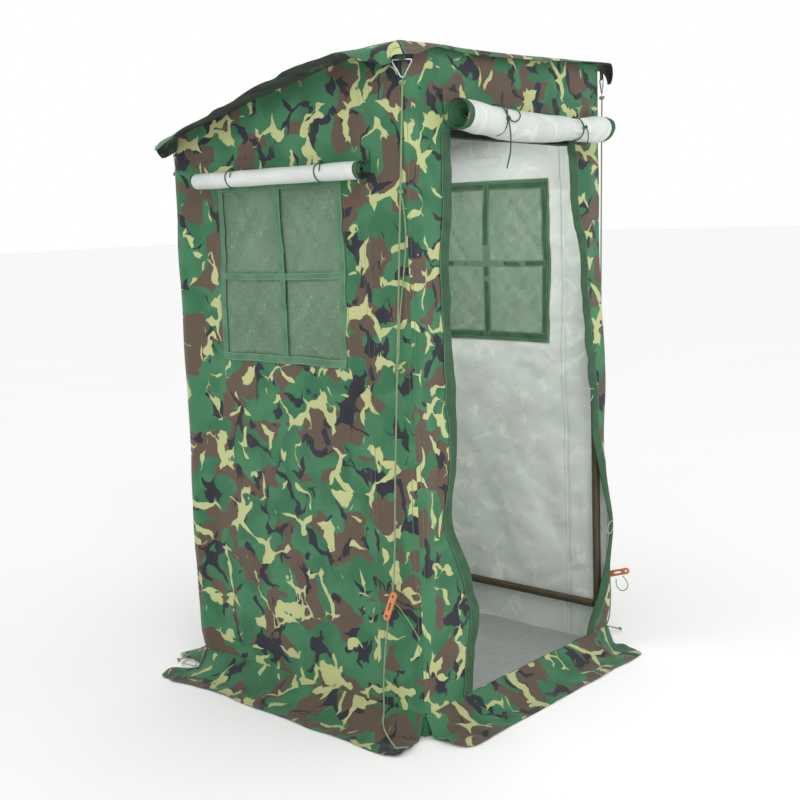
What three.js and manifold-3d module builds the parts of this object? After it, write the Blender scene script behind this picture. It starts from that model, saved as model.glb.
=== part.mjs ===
// Camouflage watch cabin: a one-person cloth hide hung on a plug-together steel tube frame.
// The doorway faces -Y. Its flap and both window covers are rolled up and tied.
// A guy rope with a sliding tensioner hangs from a wire ring at each top corner.
// Millimetres, +Z up. The origin is on the ground, at the middle of the plan.

import * as THREE from 'three';
import { mergeVertices } from 'three/addons/utils/BufferGeometryUtils.js';
import Module from 'manifold-3d';

const wasm = await Module();
wasm.setup();

// ---- Driving dimensions ----

const SIDE = 1000; // outside width of the walls, both ways
const HALF = SIDE / 2;
const ROOF_FRONT = 2015; // height of the roof's top over the front wall
const ROOF_REAR = 1815; // and over the rear wall
const CLOTH = 3; // thickness of a cloth panel, standing for the slack cloth in it
const GAP = 0.4; // left between neighbours that touch

const TUBE_R = 14; // frame tube
const BORE_R = 12.8;
const SPIGOT_R = 12.4; // swaged end that plugs into a tube's bore
const SPIGOT_BORE_R = 11.2;
const SPIGOT_LENGTH = 60;
const SLEEVE_R = 17; // corner fitting's sockets
const SLEEVE_BORE_R = 14.4;
const SLEEVE_LENGTH = 62;
const SEAT = 22; // from a fitting's centre to the bottom of its sockets
const HUB_R = 18;
const LEG = HALF - CLOTH - SLEEVE_R - 2; // from the middle to a leg's axis, along X and Y
const RAIL_DROP = 22; // from the roof's top down to the axes of the top rails
const LEG_SPLIT = 1000; // height where the two halves of a leg meet
const LOW_RAIL_Z = 145;
const FOOT_R = 18;
const FOOT_HEIGHT = 35;
const FOOT_SOLE = 4;

const EAVE = 100; // overhang of the roof past the side and rear walls
const EAVE_FRONT = 35;
const EAVE_DROP = 35; // how far an eave's edge droops, twice that at a corner

const DOOR_TOP = 1760;
const DOOR_SILL = 70;
const BINDING = 28; // width of the tape round the doorway
const BINDING_T = 1.6;
// The slack edges of the doorway, as X and Z from top to bottom
const DOOR_LEFT = [[-300, DOOR_TOP], [-322, 1250], [-328, 780], [-262, 500], [-234, 290], [-280, DOOR_SILL]];
const DOOR_RIGHT = [[300, DOOR_TOP], [365, 1200], [405, 800], [452, 390], [355, DOOR_SILL]];

const WINDOW = 560; // square window in each side wall
const WINDOW_Y = 20;
const WINDOW_Z = 1370;
const MESH_LAP = 14; // how far the mesh laps the wall all round
const MESH_T = 0.8;
const TAPE = 26; // width of the tapes round and across a window
const TAPE_T = 1.2;

const SKIRT_TOP = DOOR_SILL - 1; // height where a skirt leaves its wall
const SKIRT = 160; // how far a skirt reaches out over the ground
const SIDE_SKIRT_FROM = -522; // the side skirts run past the walls at both ends
const SIDE_SKIRT_TO = 537;

const DOOR_ROLL_Z = 1806;
const DOOR_ROLL_Y = -(HALF + 53);
const DOOR_ROLL_FROM = -332;
const DOOR_ROLL_LENGTH = 790;
const WINDOW_ROLL_R = 27;
const WINDOW_ROLL_X = HALF + WINDOW_ROLL_R + 6;
const WINDOW_ROLL_Z = 1675;
const WINDOW_ROLL_FROM = -366;
const WINDOW_ROLL_LENGTH = 770;

const RING_WIDTH = 58;
const RING_HEIGHT = 52;
const RING_WIRE = 4;
const RING_DROP = 50; // from the roof's top down to the ring's top bar
const RING_OUT = 7; // from the corner out to the ring's plane
const TAB_WIDTH = 22;
const ROPE_D = 5;
const TENSIONER = [100, 22, 8]; // length, width, thickness

// ---- Materials ----

const material = (color, roughness, metalness = 0) =>
  new THREE.MeshStandardMaterial({ color, roughness, metalness });

const CAMO = [0x3c7d57, 0.8];
const TRIM = [0x3d6a50, 0.8];
const TUBE_PAINT = [0x3a3426, 0.5, 0.2];
const FITTING_PAINT = [0x2f2c24, 0.55, 0.2];
const BLACK_PLASTIC = [0x202020, 0.6];
const MESH_GREEN = [0x5c8468, 0.7];
const LINING_WHITE = [0xdfe3e2, 0.6];
const SHEET_GREY = [0x9a9a9c, 0.6];
const WIRE = [0xc9ccd0, 0.3, 1];
const ROPE_OLIVE = [0x96a87c, 0.85];
const TENSIONER_TAN = [0xe8a86c, 0.55];

// ---- Helpers ----

const group = new THREE.Group();

function add(name, geometry, look) {
  const mesh = new THREE.Mesh(geometry, material(...look));
  mesh.name = name;
  group.add(mesh);
  return mesh;
}

function solid(geometry) {
  const bare = geometry.clone();
  bare.deleteAttribute('normal');
  bare.deleteAttribute('uv');
  const merged = mergeVertices(bare, 1e-4);
  return new wasm.Manifold(new wasm.Mesh({
    numProp: 3,
    vertProperties: merged.attributes.position.array,
    triVerts: Uint32Array.from(merged.index.array),
  }));
}

function fromSolid(body) {
  const mesh = body.getMesh();
  const geometry = new THREE.BufferGeometry();
  geometry.setAttribute('position', new THREE.BufferAttribute(mesh.vertProperties, 3));
  geometry.setIndex(new THREE.BufferAttribute(mesh.triVerts, 1));
  return geometry;
}

const roofTop = (y) => ROOF_REAR + ((ROOF_FRONT - ROOF_REAR) * (HALF - y)) / SIDE;

const UP = new THREE.Vector3(0, 0, 1);

// Turns a geometry that runs along +Z so that it runs along a direction
const along = (geometry, direction) =>
  geometry.applyQuaternion(new THREE.Quaternion().setFromUnitVectors(UP, direction));

// A round solid about +Z from a profile of [radius, height] points
function turned(profile, segments = 16) {
  const points = profile.map(([r, z]) => new THREE.Vector2(r, z));
  return new THREE.LatheGeometry(points, segments).rotateX(Math.PI / 2);
}

const rod = (radius, from, to) => turned([[0, from], [radius, from], [radius, to], [0, to]]);

const pipe = (outer, inner, from, to) =>
  turned([[inner, from], [outer, from], [outer, to], [inner, to], [inner, from]]);

// A flat panel from an outline of [u, v] points and holes, its thickness along +Z
function panel(outline, thickness, holes = []) {
  const shape = new THREE.Shape(outline.map(([u, v]) => new THREE.Vector2(u, v)));
  shape.holes = holes.map((hole) => new THREE.Path(hole.map(([u, v]) => new THREE.Vector2(u, v))));
  return new THREE.ExtrudeGeometry(shape, { depth: thickness, bevelEnabled: false });
}

const rectangle = (u0, v0, u1, v1) => [[u0, v0], [u1, v0], [u1, v1], [u0, v1]];

// Stands a panel drawn in u = X, v = Z up, with its near face at Y = y and its thickness towards +Y
const facingFront = (geometry, y, thickness) =>
  geometry.rotateX(Math.PI / 2).translate(0, y + thickness, 0);

// Stands a panel drawn in u = Y, v = Z up, with its low face at X = x and its thickness towards +X
const facingSide = (geometry, x) =>
  geometry.rotateX(Math.PI / 2).rotateZ(Math.PI / 2).translate(x, 0, 0);

// Points of a smooth line through a few given ones
const smooth = (points, steps) =>
  new THREE.SplineCurve(points.map(([u, v]) => new THREE.Vector2(u, v)))
    .getPoints(steps)
    .map((p) => [p.x, p.y]);

// ---- Frame ----

const SIGNS = [[-1, -1, 'front_left'], [1, -1, 'front_right'], [-1, 1, 'rear_left'], [1, 1, 'rear_right']];
const railZ = (y) => roofTop(y) - RAIL_DROP;
const DOWN = new THREE.Vector3(0, 0, -1);
const slopeDown = new THREE.Vector3(0, SIDE, ROOF_REAR - ROOF_FRONT).normalize(); // along a side rail, rearwards

// Three-way corner fitting, with a socket for a leg and for two rails
function cornerFitting(sx, sy) {
  const ways = [DOWN, new THREE.Vector3(-sx, 0, 0), slopeDown.clone().multiplyScalar(-sy)];
  let body = solid(new THREE.SphereGeometry(HUB_R, 12, 8));
  for (const way of ways) {
    body = body.add(solid(along(rod(SLEEVE_R, 0, SLEEVE_LENGTH), way)));
  }
  for (const way of ways) {
    body = body.subtract(solid(along(rod(SLEEVE_BORE_R, SEAT, SLEEVE_LENGTH + 5), way)));
  }
  return fromSolid(body);
}

// Lower half of a leg: a swaged top end, and stubs that the low rails plug on
function legLower(foot, stubs) {
  let body = solid(turned([
    [BORE_R, foot], [TUBE_R, foot], [TUBE_R, LEG_SPLIT], [SPIGOT_R, LEG_SPLIT],
    [SPIGOT_R, LEG_SPLIT + SPIGOT_LENGTH], [SPIGOT_BORE_R, LEG_SPLIT + SPIGOT_LENGTH],
    [SPIGOT_BORE_R, LEG_SPLIT - 8], [BORE_R, LEG_SPLIT - 12], [BORE_R, foot],
  ]));
  for (const way of stubs) {
    const stub = along(pipe(SPIGOT_R, SPIGOT_BORE_R, TUBE_R - 0.7, SPIGOT_LENGTH), way);
    body = body.add(solid(stub.translate(0, 0, LOW_RAIL_Z)));
  }
  return fromSolid(body);
}

const footTop = CLOTH + GAP + FOOT_SOLE + GAP;
for (const [sx, sy, where] of SIGNS) {
  const x = sx * LEG;
  const y = sy * LEG;
  const stubs = [new THREE.Vector3(0, -sy, 0)];
  if (sy > 0) stubs.push(new THREE.Vector3(-sx, 0, 0));

  add(`leg_lower_${where}`, legLower(footTop, stubs), TUBE_PAINT).position.set(x, y, 0);

  const upperTop = railZ(y) - SEAT - GAP;
  const upper = pipe(TUBE_R, BORE_R, LEG_SPLIT + GAP, upperTop);
  add(`leg_upper_${where}`, upper, TUBE_PAINT).position.set(x, y, 0);

  add(`corner_fitting_${where}`, cornerFitting(sx, sy), FITTING_PAINT).position.set(x, y, railZ(y));

  const foot = turned([
    [0, 0], [FOOT_R, 0], [FOOT_R, FOOT_HEIGHT], [SLEEVE_BORE_R, FOOT_HEIGHT],
    [SLEEVE_BORE_R, FOOT_SOLE], [0, FOOT_SOLE],
  ]);
  add(`foot_${where}`, foot, BLACK_PLASTIC).position.set(x, y, CLOTH + GAP);
}

// A rail as a pipe between two points, cut back by the same length at each end
function rail(name, from, to, cut) {
  const span = new THREE.Vector3().subVectors(to, from);
  const length = span.length();
  const tube = along(pipe(TUBE_R, BORE_R, cut, length - cut), span.normalize());
  add(name, tube, TUBE_PAINT).position.copy(from);
}

const at = (sx, sy, z) => new THREE.Vector3(sx * LEG, sy * LEG, z);
const topCut = SEAT + GAP;
const lowCut = TUBE_R + 1;
const frontZ = railZ(-LEG);
const rearZ = railZ(LEG);
rail('top_rail_front', at(-1, -1, frontZ), at(1, -1, frontZ), topCut);
rail('top_rail_rear', at(-1, 1, rearZ), at(1, 1, rearZ), topCut);
rail('top_rail_left', at(-1, -1, frontZ), at(-1, 1, rearZ), topCut);
rail('top_rail_right', at(1, -1, frontZ), at(1, 1, rearZ), topCut);
rail('low_rail_left', at(-1, -1, LOW_RAIL_Z), at(-1, 1, LOW_RAIL_Z), lowCut);
rail('low_rail_right', at(1, -1, LOW_RAIL_Z), at(1, 1, LOW_RAIL_Z), lowCut);
rail('low_rail_rear', at(-1, 1, LOW_RAIL_Z), at(1, 1, LOW_RAIL_Z), lowCut);

// ---- Roof cover ----

// A closed sheet over a grid of stations: top(x, y) gives its upper face, and it is CLOTH thick
function sheetOverGrid(xs, ys, top) {
  const upper = [];
  const lower = [];
  for (const y of ys) {
    for (const x of xs) {
      upper.push(x, y, top(x, y));
      lower.push(x, y, top(x, y) - CLOTH);
    }
  }
  const columns = xs.length;
  const rows = ys.length;
  const shift = columns * rows;
  const index = [];
  const quad = (a, b, c, d) => index.push(a, b, c, a, c, d);
  for (let j = 0; j + 1 < rows; j += 1) {
    for (let i = 0; i + 1 < columns; i += 1) {
      const a = j * columns + i;
      const b = a + 1;
      const c = b + columns;
      const d = a + columns;
      quad(a, b, c, d);
      quad(a + shift, d + shift, c + shift, b + shift);
    }
  }
  for (let i = 0; i + 1 < columns; i += 1) {
    const far = (rows - 1) * columns + i;
    quad(i + 1, i, i + shift, i + 1 + shift);
    quad(far, far + 1, far + 1 + shift, far + shift);
  }
  for (let j = 0; j + 1 < rows; j += 1) {
    const near = j * columns;
    const far = near + columns - 1;
    quad(near, near + columns, near + columns + shift, near + shift);
    quad(far + columns, far, far + shift, far + columns + shift);
  }
  const geometry = new THREE.BufferGeometry();
  geometry.setAttribute('position', new THREE.Float32BufferAttribute([...upper, ...lower], 3));
  geometry.setIndex(index);
  return geometry;
}

const beyond = (distance, reach) => Math.max(0, distance) / reach; // share of an eave
function roofSurface(x, y) {
  const sideShare = beyond(Math.abs(x) - HALF, EAVE);
  const rearShare = beyond(y - HALF, EAVE);
  return roofTop(y) - EAVE_DROP * (sideShare ** 2 + rearShare ** 2);
}

const eaveSteps = [0.35, 0.7, 1].map((share) => HALF + share * EAVE);
const roofXs = [...eaveSteps.map((x) => -x).reverse(), -HALF, 0, HALF, ...eaveSteps];
const roofYs = [-HALF - EAVE_FRONT, -HALF, 0, HALF, ...eaveSteps];
add('roof_cover', sheetOverGrid(roofXs, roofYs, roofSurface), CAMO);

// ---- Walls ----

const underRoof = (y) => roofTop(y) - CLOTH - GAP;
const doorLeft = smooth(DOOR_LEFT, 20);
const doorRight = smooth(DOOR_RIGHT, 20);
const doorway = [...doorLeft, ...doorRight.slice().reverse()];

const frontWall = panel(rectangle(-HALF, 0, HALF, underRoof(CLOTH - HALF)), CLOTH, [doorway]);
add('wall_front', facingFront(frontWall, -HALF, CLOTH), CAMO);

const rearWall = panel(rectangle(-HALF, 0, HALF, underRoof(HALF)), CLOTH);
add('wall_rear', facingFront(rearWall, HALF - CLOTH, CLOTH), CAMO);

const sideEnd = HALF - CLOTH - GAP;
const sideOutline = [
  [-sideEnd, 0], [sideEnd, 0], [sideEnd, underRoof(sideEnd)], [-sideEnd, underRoof(-sideEnd)],
];
const windowSquare = (margin) => rectangle(
  WINDOW_Y - WINDOW / 2 - margin, WINDOW_Z - WINDOW / 2 - margin,
  WINDOW_Y + WINDOW / 2 + margin, WINDOW_Z + WINDOW / 2 + margin,
);

// The window's tapes: one round it and a cross over it, in one piece with four panes
function windowTapes() {
  const near = TAPE / 2; // a pane's edges, from the window's middle
  const far = WINDOW / 2 - TAPE;
  let body = solid(panel(windowSquare(0), TAPE_T));
  for (const [u0, u1] of [[-far, -near], [near, far]]) {
    for (const [v0, v1] of [[-far, -near], [near, far]]) {
      const pane = rectangle(WINDOW_Y + u0, WINDOW_Z + v0, WINDOW_Y + u1, WINDOW_Z + v1);
      body = body.subtract(solid(panel(pane, TAPE_T + 2).translate(0, 0, -1)));
    }
  }
  return fromSolid(body);
}

// The low face of a layer that lies inside a side wall, at a depth from the wall's inner face
const inside = (sx, depth, thickness) => {
  const face = HALF - CLOTH - depth;
  return sx < 0 ? -face : face - thickness;
};

for (const [sx, side] of [[-1, 'left'], [1, 'right']]) {
  const wall = panel(sideOutline, CLOTH, [windowSquare(0)]);
  add(`wall_${side}`, facingSide(wall, sx < 0 ? -HALF : HALF - CLOTH), CAMO);

  const mesh = panel(windowSquare(MESH_LAP), MESH_T);
  add(`window_mesh_${side}`, facingSide(mesh, inside(sx, GAP, MESH_T)), MESH_GREEN);

  const tapeDepth = GAP + MESH_T + GAP;
  add(`window_tape_${side}`, facingSide(windowTapes(), inside(sx, tapeDepth, TAPE_T)), TRIM);
}

// Binding tape down each edge of the doorway, on the wall's outer face
for (const [edge, out, side] of [[doorLeft, -1, 'left'], [doorRight, 1, 'right']]) {
  const outer = edge.map(([x, z]) => [x + out * BINDING, z]);
  const strip = panel([...edge, ...outer.reverse()], BINDING_T);
  add(`door_binding_${side}`, facingFront(strip, -HALF - GAP - BINDING_T, BINDING_T), TRIM);
}

// ---- Groundsheet and skirts ----

const floorHalf = HALF - CLOTH - GAP;
add('groundsheet', panel(rectangle(-floorHalf, -floorHalf, floorHalf, floorHalf), CLOTH), SHEET_GREY);

// A skirt's section, as distance out from the wall and height
const skirtSection = [
  [GAP, SKIRT_TOP], [GAP, SKIRT_TOP - 3.5], [58, 34], [121, 0], [SKIRT, 0], [SKIRT, CLOTH], [124, CLOTH],
  [60, 37.5],
];

// A skirt drawn in its section and run along a wall, then turned to face outwards
function skirt(name, from, to, turn) {
  const strip = panel(skirtSection, to - from).rotateX(Math.PI / 2).translate(HALF, to, 0);
  add(name, strip.rotateZ(turn), CAMO);
}

const endGap = HALF - GAP;
skirt('skirt_right', SIDE_SKIRT_FROM, SIDE_SKIRT_TO, 0);
skirt('skirt_left', -SIDE_SKIRT_TO, -SIDE_SKIRT_FROM, Math.PI);
skirt('skirt_front', -endGap, endGap, -Math.PI / 2);
skirt('skirt_rear', -endGap, endGap, Math.PI / 2);

// ---- Rolled flaps ----

// The door flap's roll: full at the left end, drawn in under its ties, and flared at the right end
const doorTies = [175, 600]; // from the roll's left end
const doorRollProfile = [
  [0, 0], [45, 0], [47, 60], [44, 150], [43, doorTies[0]], [45, 215], [47, 330], [44, 480],
  [37, 570], [34, doorTies[1]], [38, 640], [44, 730], [42, DOOR_ROLL_LENGTH], [0, DOOR_ROLL_LENGTH],
];
const TO_X = new THREE.Vector3(1, 0, 0);
const TO_Y = new THREE.Vector3(0, 1, 0);
add('door_roll', along(turned(doorRollProfile, 24), TO_X), LINING_WHITE)
  .position.set(DOOR_ROLL_FROM, DOOR_ROLL_Y, DOOR_ROLL_Z);

for (const [i, side] of [[0, 'left'], [1, 'right']]) {
  const inner = [45.4, 36.8][i];
  const band = along(pipe(inner + 2.2, inner, -4, 4), TO_X);
  add(`door_roll_tie_${side}`, band, TRIM)
    .position.set(DOOR_ROLL_FROM + doorTies[i], DOOR_ROLL_Y, DOOR_ROLL_Z);

  const sx = i === 0 ? -1 : 1;
  const round = rod(WINDOW_ROLL_R, 0, WINDOW_ROLL_LENGTH);
  add(`window_roll_${side}`, along(round, TO_Y), LINING_WHITE)
    .position.set(sx * WINDOW_ROLL_X, WINDOW_ROLL_FROM, WINDOW_ROLL_Z);
}

// ---- Guy ropes ----

// Each guy is drawn at its top corner with u out along the corner's diagonal, v sideways and z up.
// route is the rope's line below the ring, from its straight run to where it lies on a skirt.
const GUYS = {
  front_left: {
    route: [
      [-530, -420, 470], [-531, -400, 380], [-532, -382, 280], [-534, -368, 150], [-540, -370, 62],
      [-556, -380, 48], [-578, -402, 36], [-600, -438, 24], [-618, -476, 15], [-630, -506, 9],
    ],
    tensioner: { z: 402, y: -412, tilt: 24 },
  },
  front_right: {
    route: [
      [526, -462, 470], [527, -472, 380], [528, -492, 290], [530, -500, 190], [536, -490, 90],
      [552, -470, 52], [574, -450, 38], [598, -440, 24], [618, -452, 15], [630, -478, 9],
    ],
    tensioner: { z: 256, y: -526, tilt: 72 },
  },
  rear_left: {
    route: [
      [-412, 524, 470], [-405, 526, 380], [-398, 529, 280], [-390, 533, 150], [-392, 541, 68],
      [-408, 558, 54], [-434, 575, 44], [-464, 590, 33], [-494, 603, 24], [-520, 613, 12], [-541, 621, 6],
    ],
    tensioner: { z: 330, y: 546, tilt: 20 },
  },
  rear_right: {
    route: [
      [412, 524, 470], [405, 526, 380], [398, 529, 280], [390, 533, 150], [392, 541, 68],
      [408, 558, 54], [434, 575, 44], [464, 590, 33], [494, 603, 24], [520, 613, 12], [541, 621, 6],
    ],
    tensioner: { z: 330, y: 546, tilt: 20 },
  },
};

// Triangular wire ring in the v-z plane, its top bar's centre at the origin
function ringShape() {
  const outer = (grow) => {
    const half = RING_WIDTH / 2 - grow * 1.9;
    const top = RING_WIRE / 2 - grow;
    const low = RING_WIRE / 2 - RING_HEIGHT + grow * 2;
    return [[-half, top], [-4 + grow, low], [4 - grow, low], [half, top]];
  };
  return panel(outer(0), RING_WIRE, [outer(RING_WIRE)]).translate(0, 0, -RING_WIRE / 2);
}

// Webbing loop that the ring's top bar turns in, drawn in the u-z plane
const tabOutline = [[-5.5, -5.5], [5.5, -5.5], [5.5, 36], [-5.5, 36]];
const tabHole = rectangle(-3.6, -3.6, 3.6, 3.6);

for (const [sx, sy, where] of SIGNS) {
  const guy = GUYS[where];
  const out = new THREE.Vector3(sx, sy, 0).normalize();
  const turn = Math.atan2(out.y, out.x); // turns +X to point out along the diagonal
  const corner = new THREE.Vector3(sx * HALF, sy * HALF, roofTop(sy * HALF) - RING_DROP);
  const bar = corner.clone().addScaledVector(out, RING_OUT);

  const ring = ringShape().rotateX(Math.PI / 2).rotateZ(Math.PI / 2 + turn);
  add(`guy_ring_${where}`, ring, WIRE).position.copy(bar);

  const tab = panel(tabOutline, TAB_WIDTH, [tabHole]).translate(0, 0, -TAB_WIDTH / 2);
  add(`guy_tab_${where}`, tab.rotateX(Math.PI / 2).rotateZ(turn), TRIM).position.copy(bar);

  const top = bar.clone().addScaledVector(UP, RING_WIRE / 2 - RING_HEIGHT - ROPE_D / 2 - GAP);
  const low = new THREE.Vector3(...guy.route[0]);
  const straight = [0, 0.25, 0.5, 0.75].map((share) => top.clone().lerp(low, share));
  const path = new THREE.CatmullRomCurve3([...straight, ...guy.route.map((p) => new THREE.Vector3(...p))]);
  const section = new THREE.Shape().absarc(0, 0, ROPE_D / 2, 0, 2 * Math.PI);
  const rope = new THREE.ExtrudeGeometry(section, { steps: 60, curveSegments: 4, extrudePath: path });
  add(`guy_rope_${where}`, rope, ROPE_OLIVE);

  // Flat tensioner beside the rope, tilted in the Y-Z plane, with an eye at each end
  const [length, width, thickness] = TENSIONER;
  const eye = (v) => rectangle(-3.5, v - 3.5, 3.5, v + 3.5);
  const bare = panel(
    rectangle(-width / 2, -length / 2, width / 2, length / 2), thickness,
    [eye(-length * 0.36), eye(length * 0.36)],
  ).translate(0, 0, -thickness / 2);
  const { z, y, tilt } = guy.tensioner;
  const rope_x = low.x + ((top.x - low.x) * (z - low.z)) / (top.z - low.z);
  const x = rope_x + sx * (ROPE_D / 2 + thickness / 2 + 1.5);
  const mesh = add(`tensioner_${where}`, bare.rotateX(Math.PI / 2).rotateZ(Math.PI / 2), TENSIONER_TAN);
  mesh.rotation.x = -sy * THREE.MathUtils.degToRad(tilt);
  mesh.position.set(x, y, z);
}

export default group;
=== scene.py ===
"""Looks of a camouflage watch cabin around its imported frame: slack cloth, rolled flaps, tapes and guy ropes.

Metres, +Z up, the doorway faces -Y. Every sheet is a closed thin shell whose points carry the attribute
"cloth": its place on the flat cut cloth (along, up) and its distance from the nearest sewn edge.
"""

import math

import bpy
import numpy as np
from mathutils import Matrix, Vector


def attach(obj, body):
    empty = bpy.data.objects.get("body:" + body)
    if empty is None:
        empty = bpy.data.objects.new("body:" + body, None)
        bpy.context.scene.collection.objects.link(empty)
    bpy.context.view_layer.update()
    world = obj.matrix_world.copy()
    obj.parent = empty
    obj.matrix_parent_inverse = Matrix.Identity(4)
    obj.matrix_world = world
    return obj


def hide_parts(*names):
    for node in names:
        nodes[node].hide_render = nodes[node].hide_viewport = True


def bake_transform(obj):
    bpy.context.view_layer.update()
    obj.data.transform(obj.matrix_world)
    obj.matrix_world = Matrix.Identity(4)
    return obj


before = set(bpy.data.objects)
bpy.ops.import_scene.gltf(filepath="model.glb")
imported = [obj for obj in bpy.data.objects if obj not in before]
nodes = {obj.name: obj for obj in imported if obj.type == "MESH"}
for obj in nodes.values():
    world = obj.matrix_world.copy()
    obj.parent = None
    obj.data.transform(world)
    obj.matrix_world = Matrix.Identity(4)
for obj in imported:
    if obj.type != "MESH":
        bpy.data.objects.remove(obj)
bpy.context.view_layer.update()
scene = bpy.context.scene


def add_object(name, data):
    made = bpy.data.objects.new(name, data)
    scene.collection.objects.link(made)
    return made


# ---- Dimensions shared with the frame ----

HALF = 0.5  # half the outside width of the walls
ROOF_FRONT = 2.015
ROOF_REAR = 1.815
CLOTH = 0.0011  # thickness of a shell
DOOR_TOP = 1.76
DOOR_SILL = 0.07
WINDOW_HALF = 0.2775
# The middle of each side window, as u and z; the rear wall has none, and only shares the spacing
WINDOW_AT = {"left": (-0.0325, 1.380), "right": (0.006, 1.361), "rear": (0.0, 1.37)}
RING_DROP = 0.05
RING_OUT = 0.007
RING_WIDTH = 0.058
RING_HEIGHT = 0.052
RING_WIRE = 0.004
RING_SEEN = 0.0048  # with its thick zinc
ROPE_D = 0.005
TENSIONER = (0.1, 0.022, 0.008)
CORNERS = {
    "front_left": (-1, -1),
    "front_right": (1, -1),
    "rear_left": (-1, 1),
    "rear_right": (1, 1),
}


# ---- Camera ----

CAMERA_AT = (-3.1041, -2.7805, 1.5565)
CAMERA_YAW = 48.138  # degrees clockwise from +Y, seen from above
CAMERA_PITCH = -8.768
CAMERA_ROLL = -2.177
LENS = 55.18


def make_camera():
    yaw, pitch, roll = (math.radians(a) for a in (CAMERA_YAW, CAMERA_PITCH, CAMERA_ROLL))
    ahead = Vector((math.sin(yaw) * math.cos(pitch), math.cos(yaw) * math.cos(pitch), math.sin(pitch)))
    level = Vector((math.cos(yaw), -math.sin(yaw), 0))
    up = level.cross(ahead)
    x_axis = math.cos(roll) * level + math.sin(roll) * up
    y_axis = -math.sin(roll) * level + math.cos(roll) * up
    camera = add_object("camera", bpy.data.cameras.new("camera"))
    camera.data.lens = LENS
    camera.data.sensor_width = 36
    camera.data.clip_end = 100
    turned = Matrix((x_axis, y_axis, -ahead)).transposed().to_4x4()
    camera.matrix_world = Matrix.Translation(CAMERA_AT) @ turned
    scene.camera = camera


make_camera()


# ---- Materials ----


class Graph:
    """Builds a Principled material's nodes by short calls; a socket or a number goes into an input alike."""

    def __init__(self, name):
        self.material = bpy.data.materials.new(name)
        self.material.use_nodes = True
        self.tree = self.material.node_tree
        self.tree.nodes.clear()
        self.shader = self.node("ShaderNodeBsdfPrincipled")
        out = self.node("ShaderNodeOutputMaterial")
        self.tree.links.new(self.shader.outputs[0], out.inputs[0])

    def node(self, kind, inputs=(), **settings):
        made = self.tree.nodes.new(kind)
        for name, value in settings.items():
            setattr(made, name, value)
        for key, value in dict(inputs).items():
            self.set(made.inputs[key], value)
        return made

    def set(self, socket, value):
        if isinstance(value, bpy.types.NodeSocket):
            self.tree.links.new(value, socket)
        else:
            socket.default_value = value

    def math(self, operation, *values):
        return self.node("ShaderNodeMath", dict(enumerate(values)), operation=operation).outputs[0]

    def add(self, a, b):
        return self.math("ADD", a, b)

    def sub(self, a, b):
        return self.math("SUBTRACT", a, b)

    def mul(self, a, b):
        return self.math("MULTIPLY", a, b)

    def mul_add(self, a, by, plus):
        return self.math("MULTIPLY_ADD", a, by, plus)

    def vector(self, operation, *values):
        made = self.node("ShaderNodeVectorMath", operation=operation)
        for i, value in enumerate(values):
            key = 3 if operation == "SCALE" and i == 1 else i
            self.set(made.inputs[key], value)
        return made.outputs[0]

    def noise(self, where, scale, detail=1.0, roughness=0.5):
        inputs = {"Vector": where, "Scale": scale, "Detail": detail, "Roughness": roughness}
        return self.node("ShaderNodeTexNoise", inputs)

    def step(self, value, edge, width):
        """0 below the edge and 1 above it, with a soft change of that width."""
        made = self.node("ShaderNodeMapRange", {0: value, 1: edge - width / 2, 2: edge + width / 2})
        made.interpolation_type = "SMOOTHSTEP"
        return made.outputs[0]

    def mix(self, share, a, b):
        return self.node("ShaderNodeMix", {0: share, 6: a, 7: b}, data_type="RGBA").outputs[2]

    def place(self):
        """The object's own coordinates."""
        return self.node("ShaderNodeTexCoord").outputs["Object"]

    def cloth(self):
        """The flat cloth's own coordinates: the whole vector, and its three parts."""
        where = self.node("ShaderNodeAttribute", attribute_name="cloth").outputs["Vector"]
        parts = self.node("ShaderNodeSeparateXYZ", {0: where}).outputs
        flat = self.node("ShaderNodeCombineXYZ", {0: parts[0], 1: parts[1]}).outputs[0]
        return flat, parts

    def bump(self, height, distance, strength=1.0):
        made = self.node("ShaderNodeBump", {"Height": height, "Distance": distance, "Strength": strength})
        self.set(self.shader.inputs["Normal"], made.outputs[0])

    def finish(self, color, roughness, **others):
        self.set(self.shader.inputs["Base Color"], color)
        self.set(self.shader.inputs["Roughness"], roughness)
        for name, value in others.items():
            self.set(self.shader.inputs[name.replace("_", " ")], value)
        return self.material


def rgb(*channels):
    """A screen colour from 0 to 255 as the linear colour that a shader takes."""
    linear = [c / 255 / 12.92 if c <= 10 else ((c / 255 + 0.055) / 1.055) ** 2.4 for c in channels]
    return (*linear, 1.0)


GREEN = rgb(48, 108, 72)
GREEN_LIGHT = rgb(62, 122, 84)
BROWN = rgb(94, 79, 66)
BLACK = rgb(38, 41, 50)
KHAKI = rgb(186, 192, 134)


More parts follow.
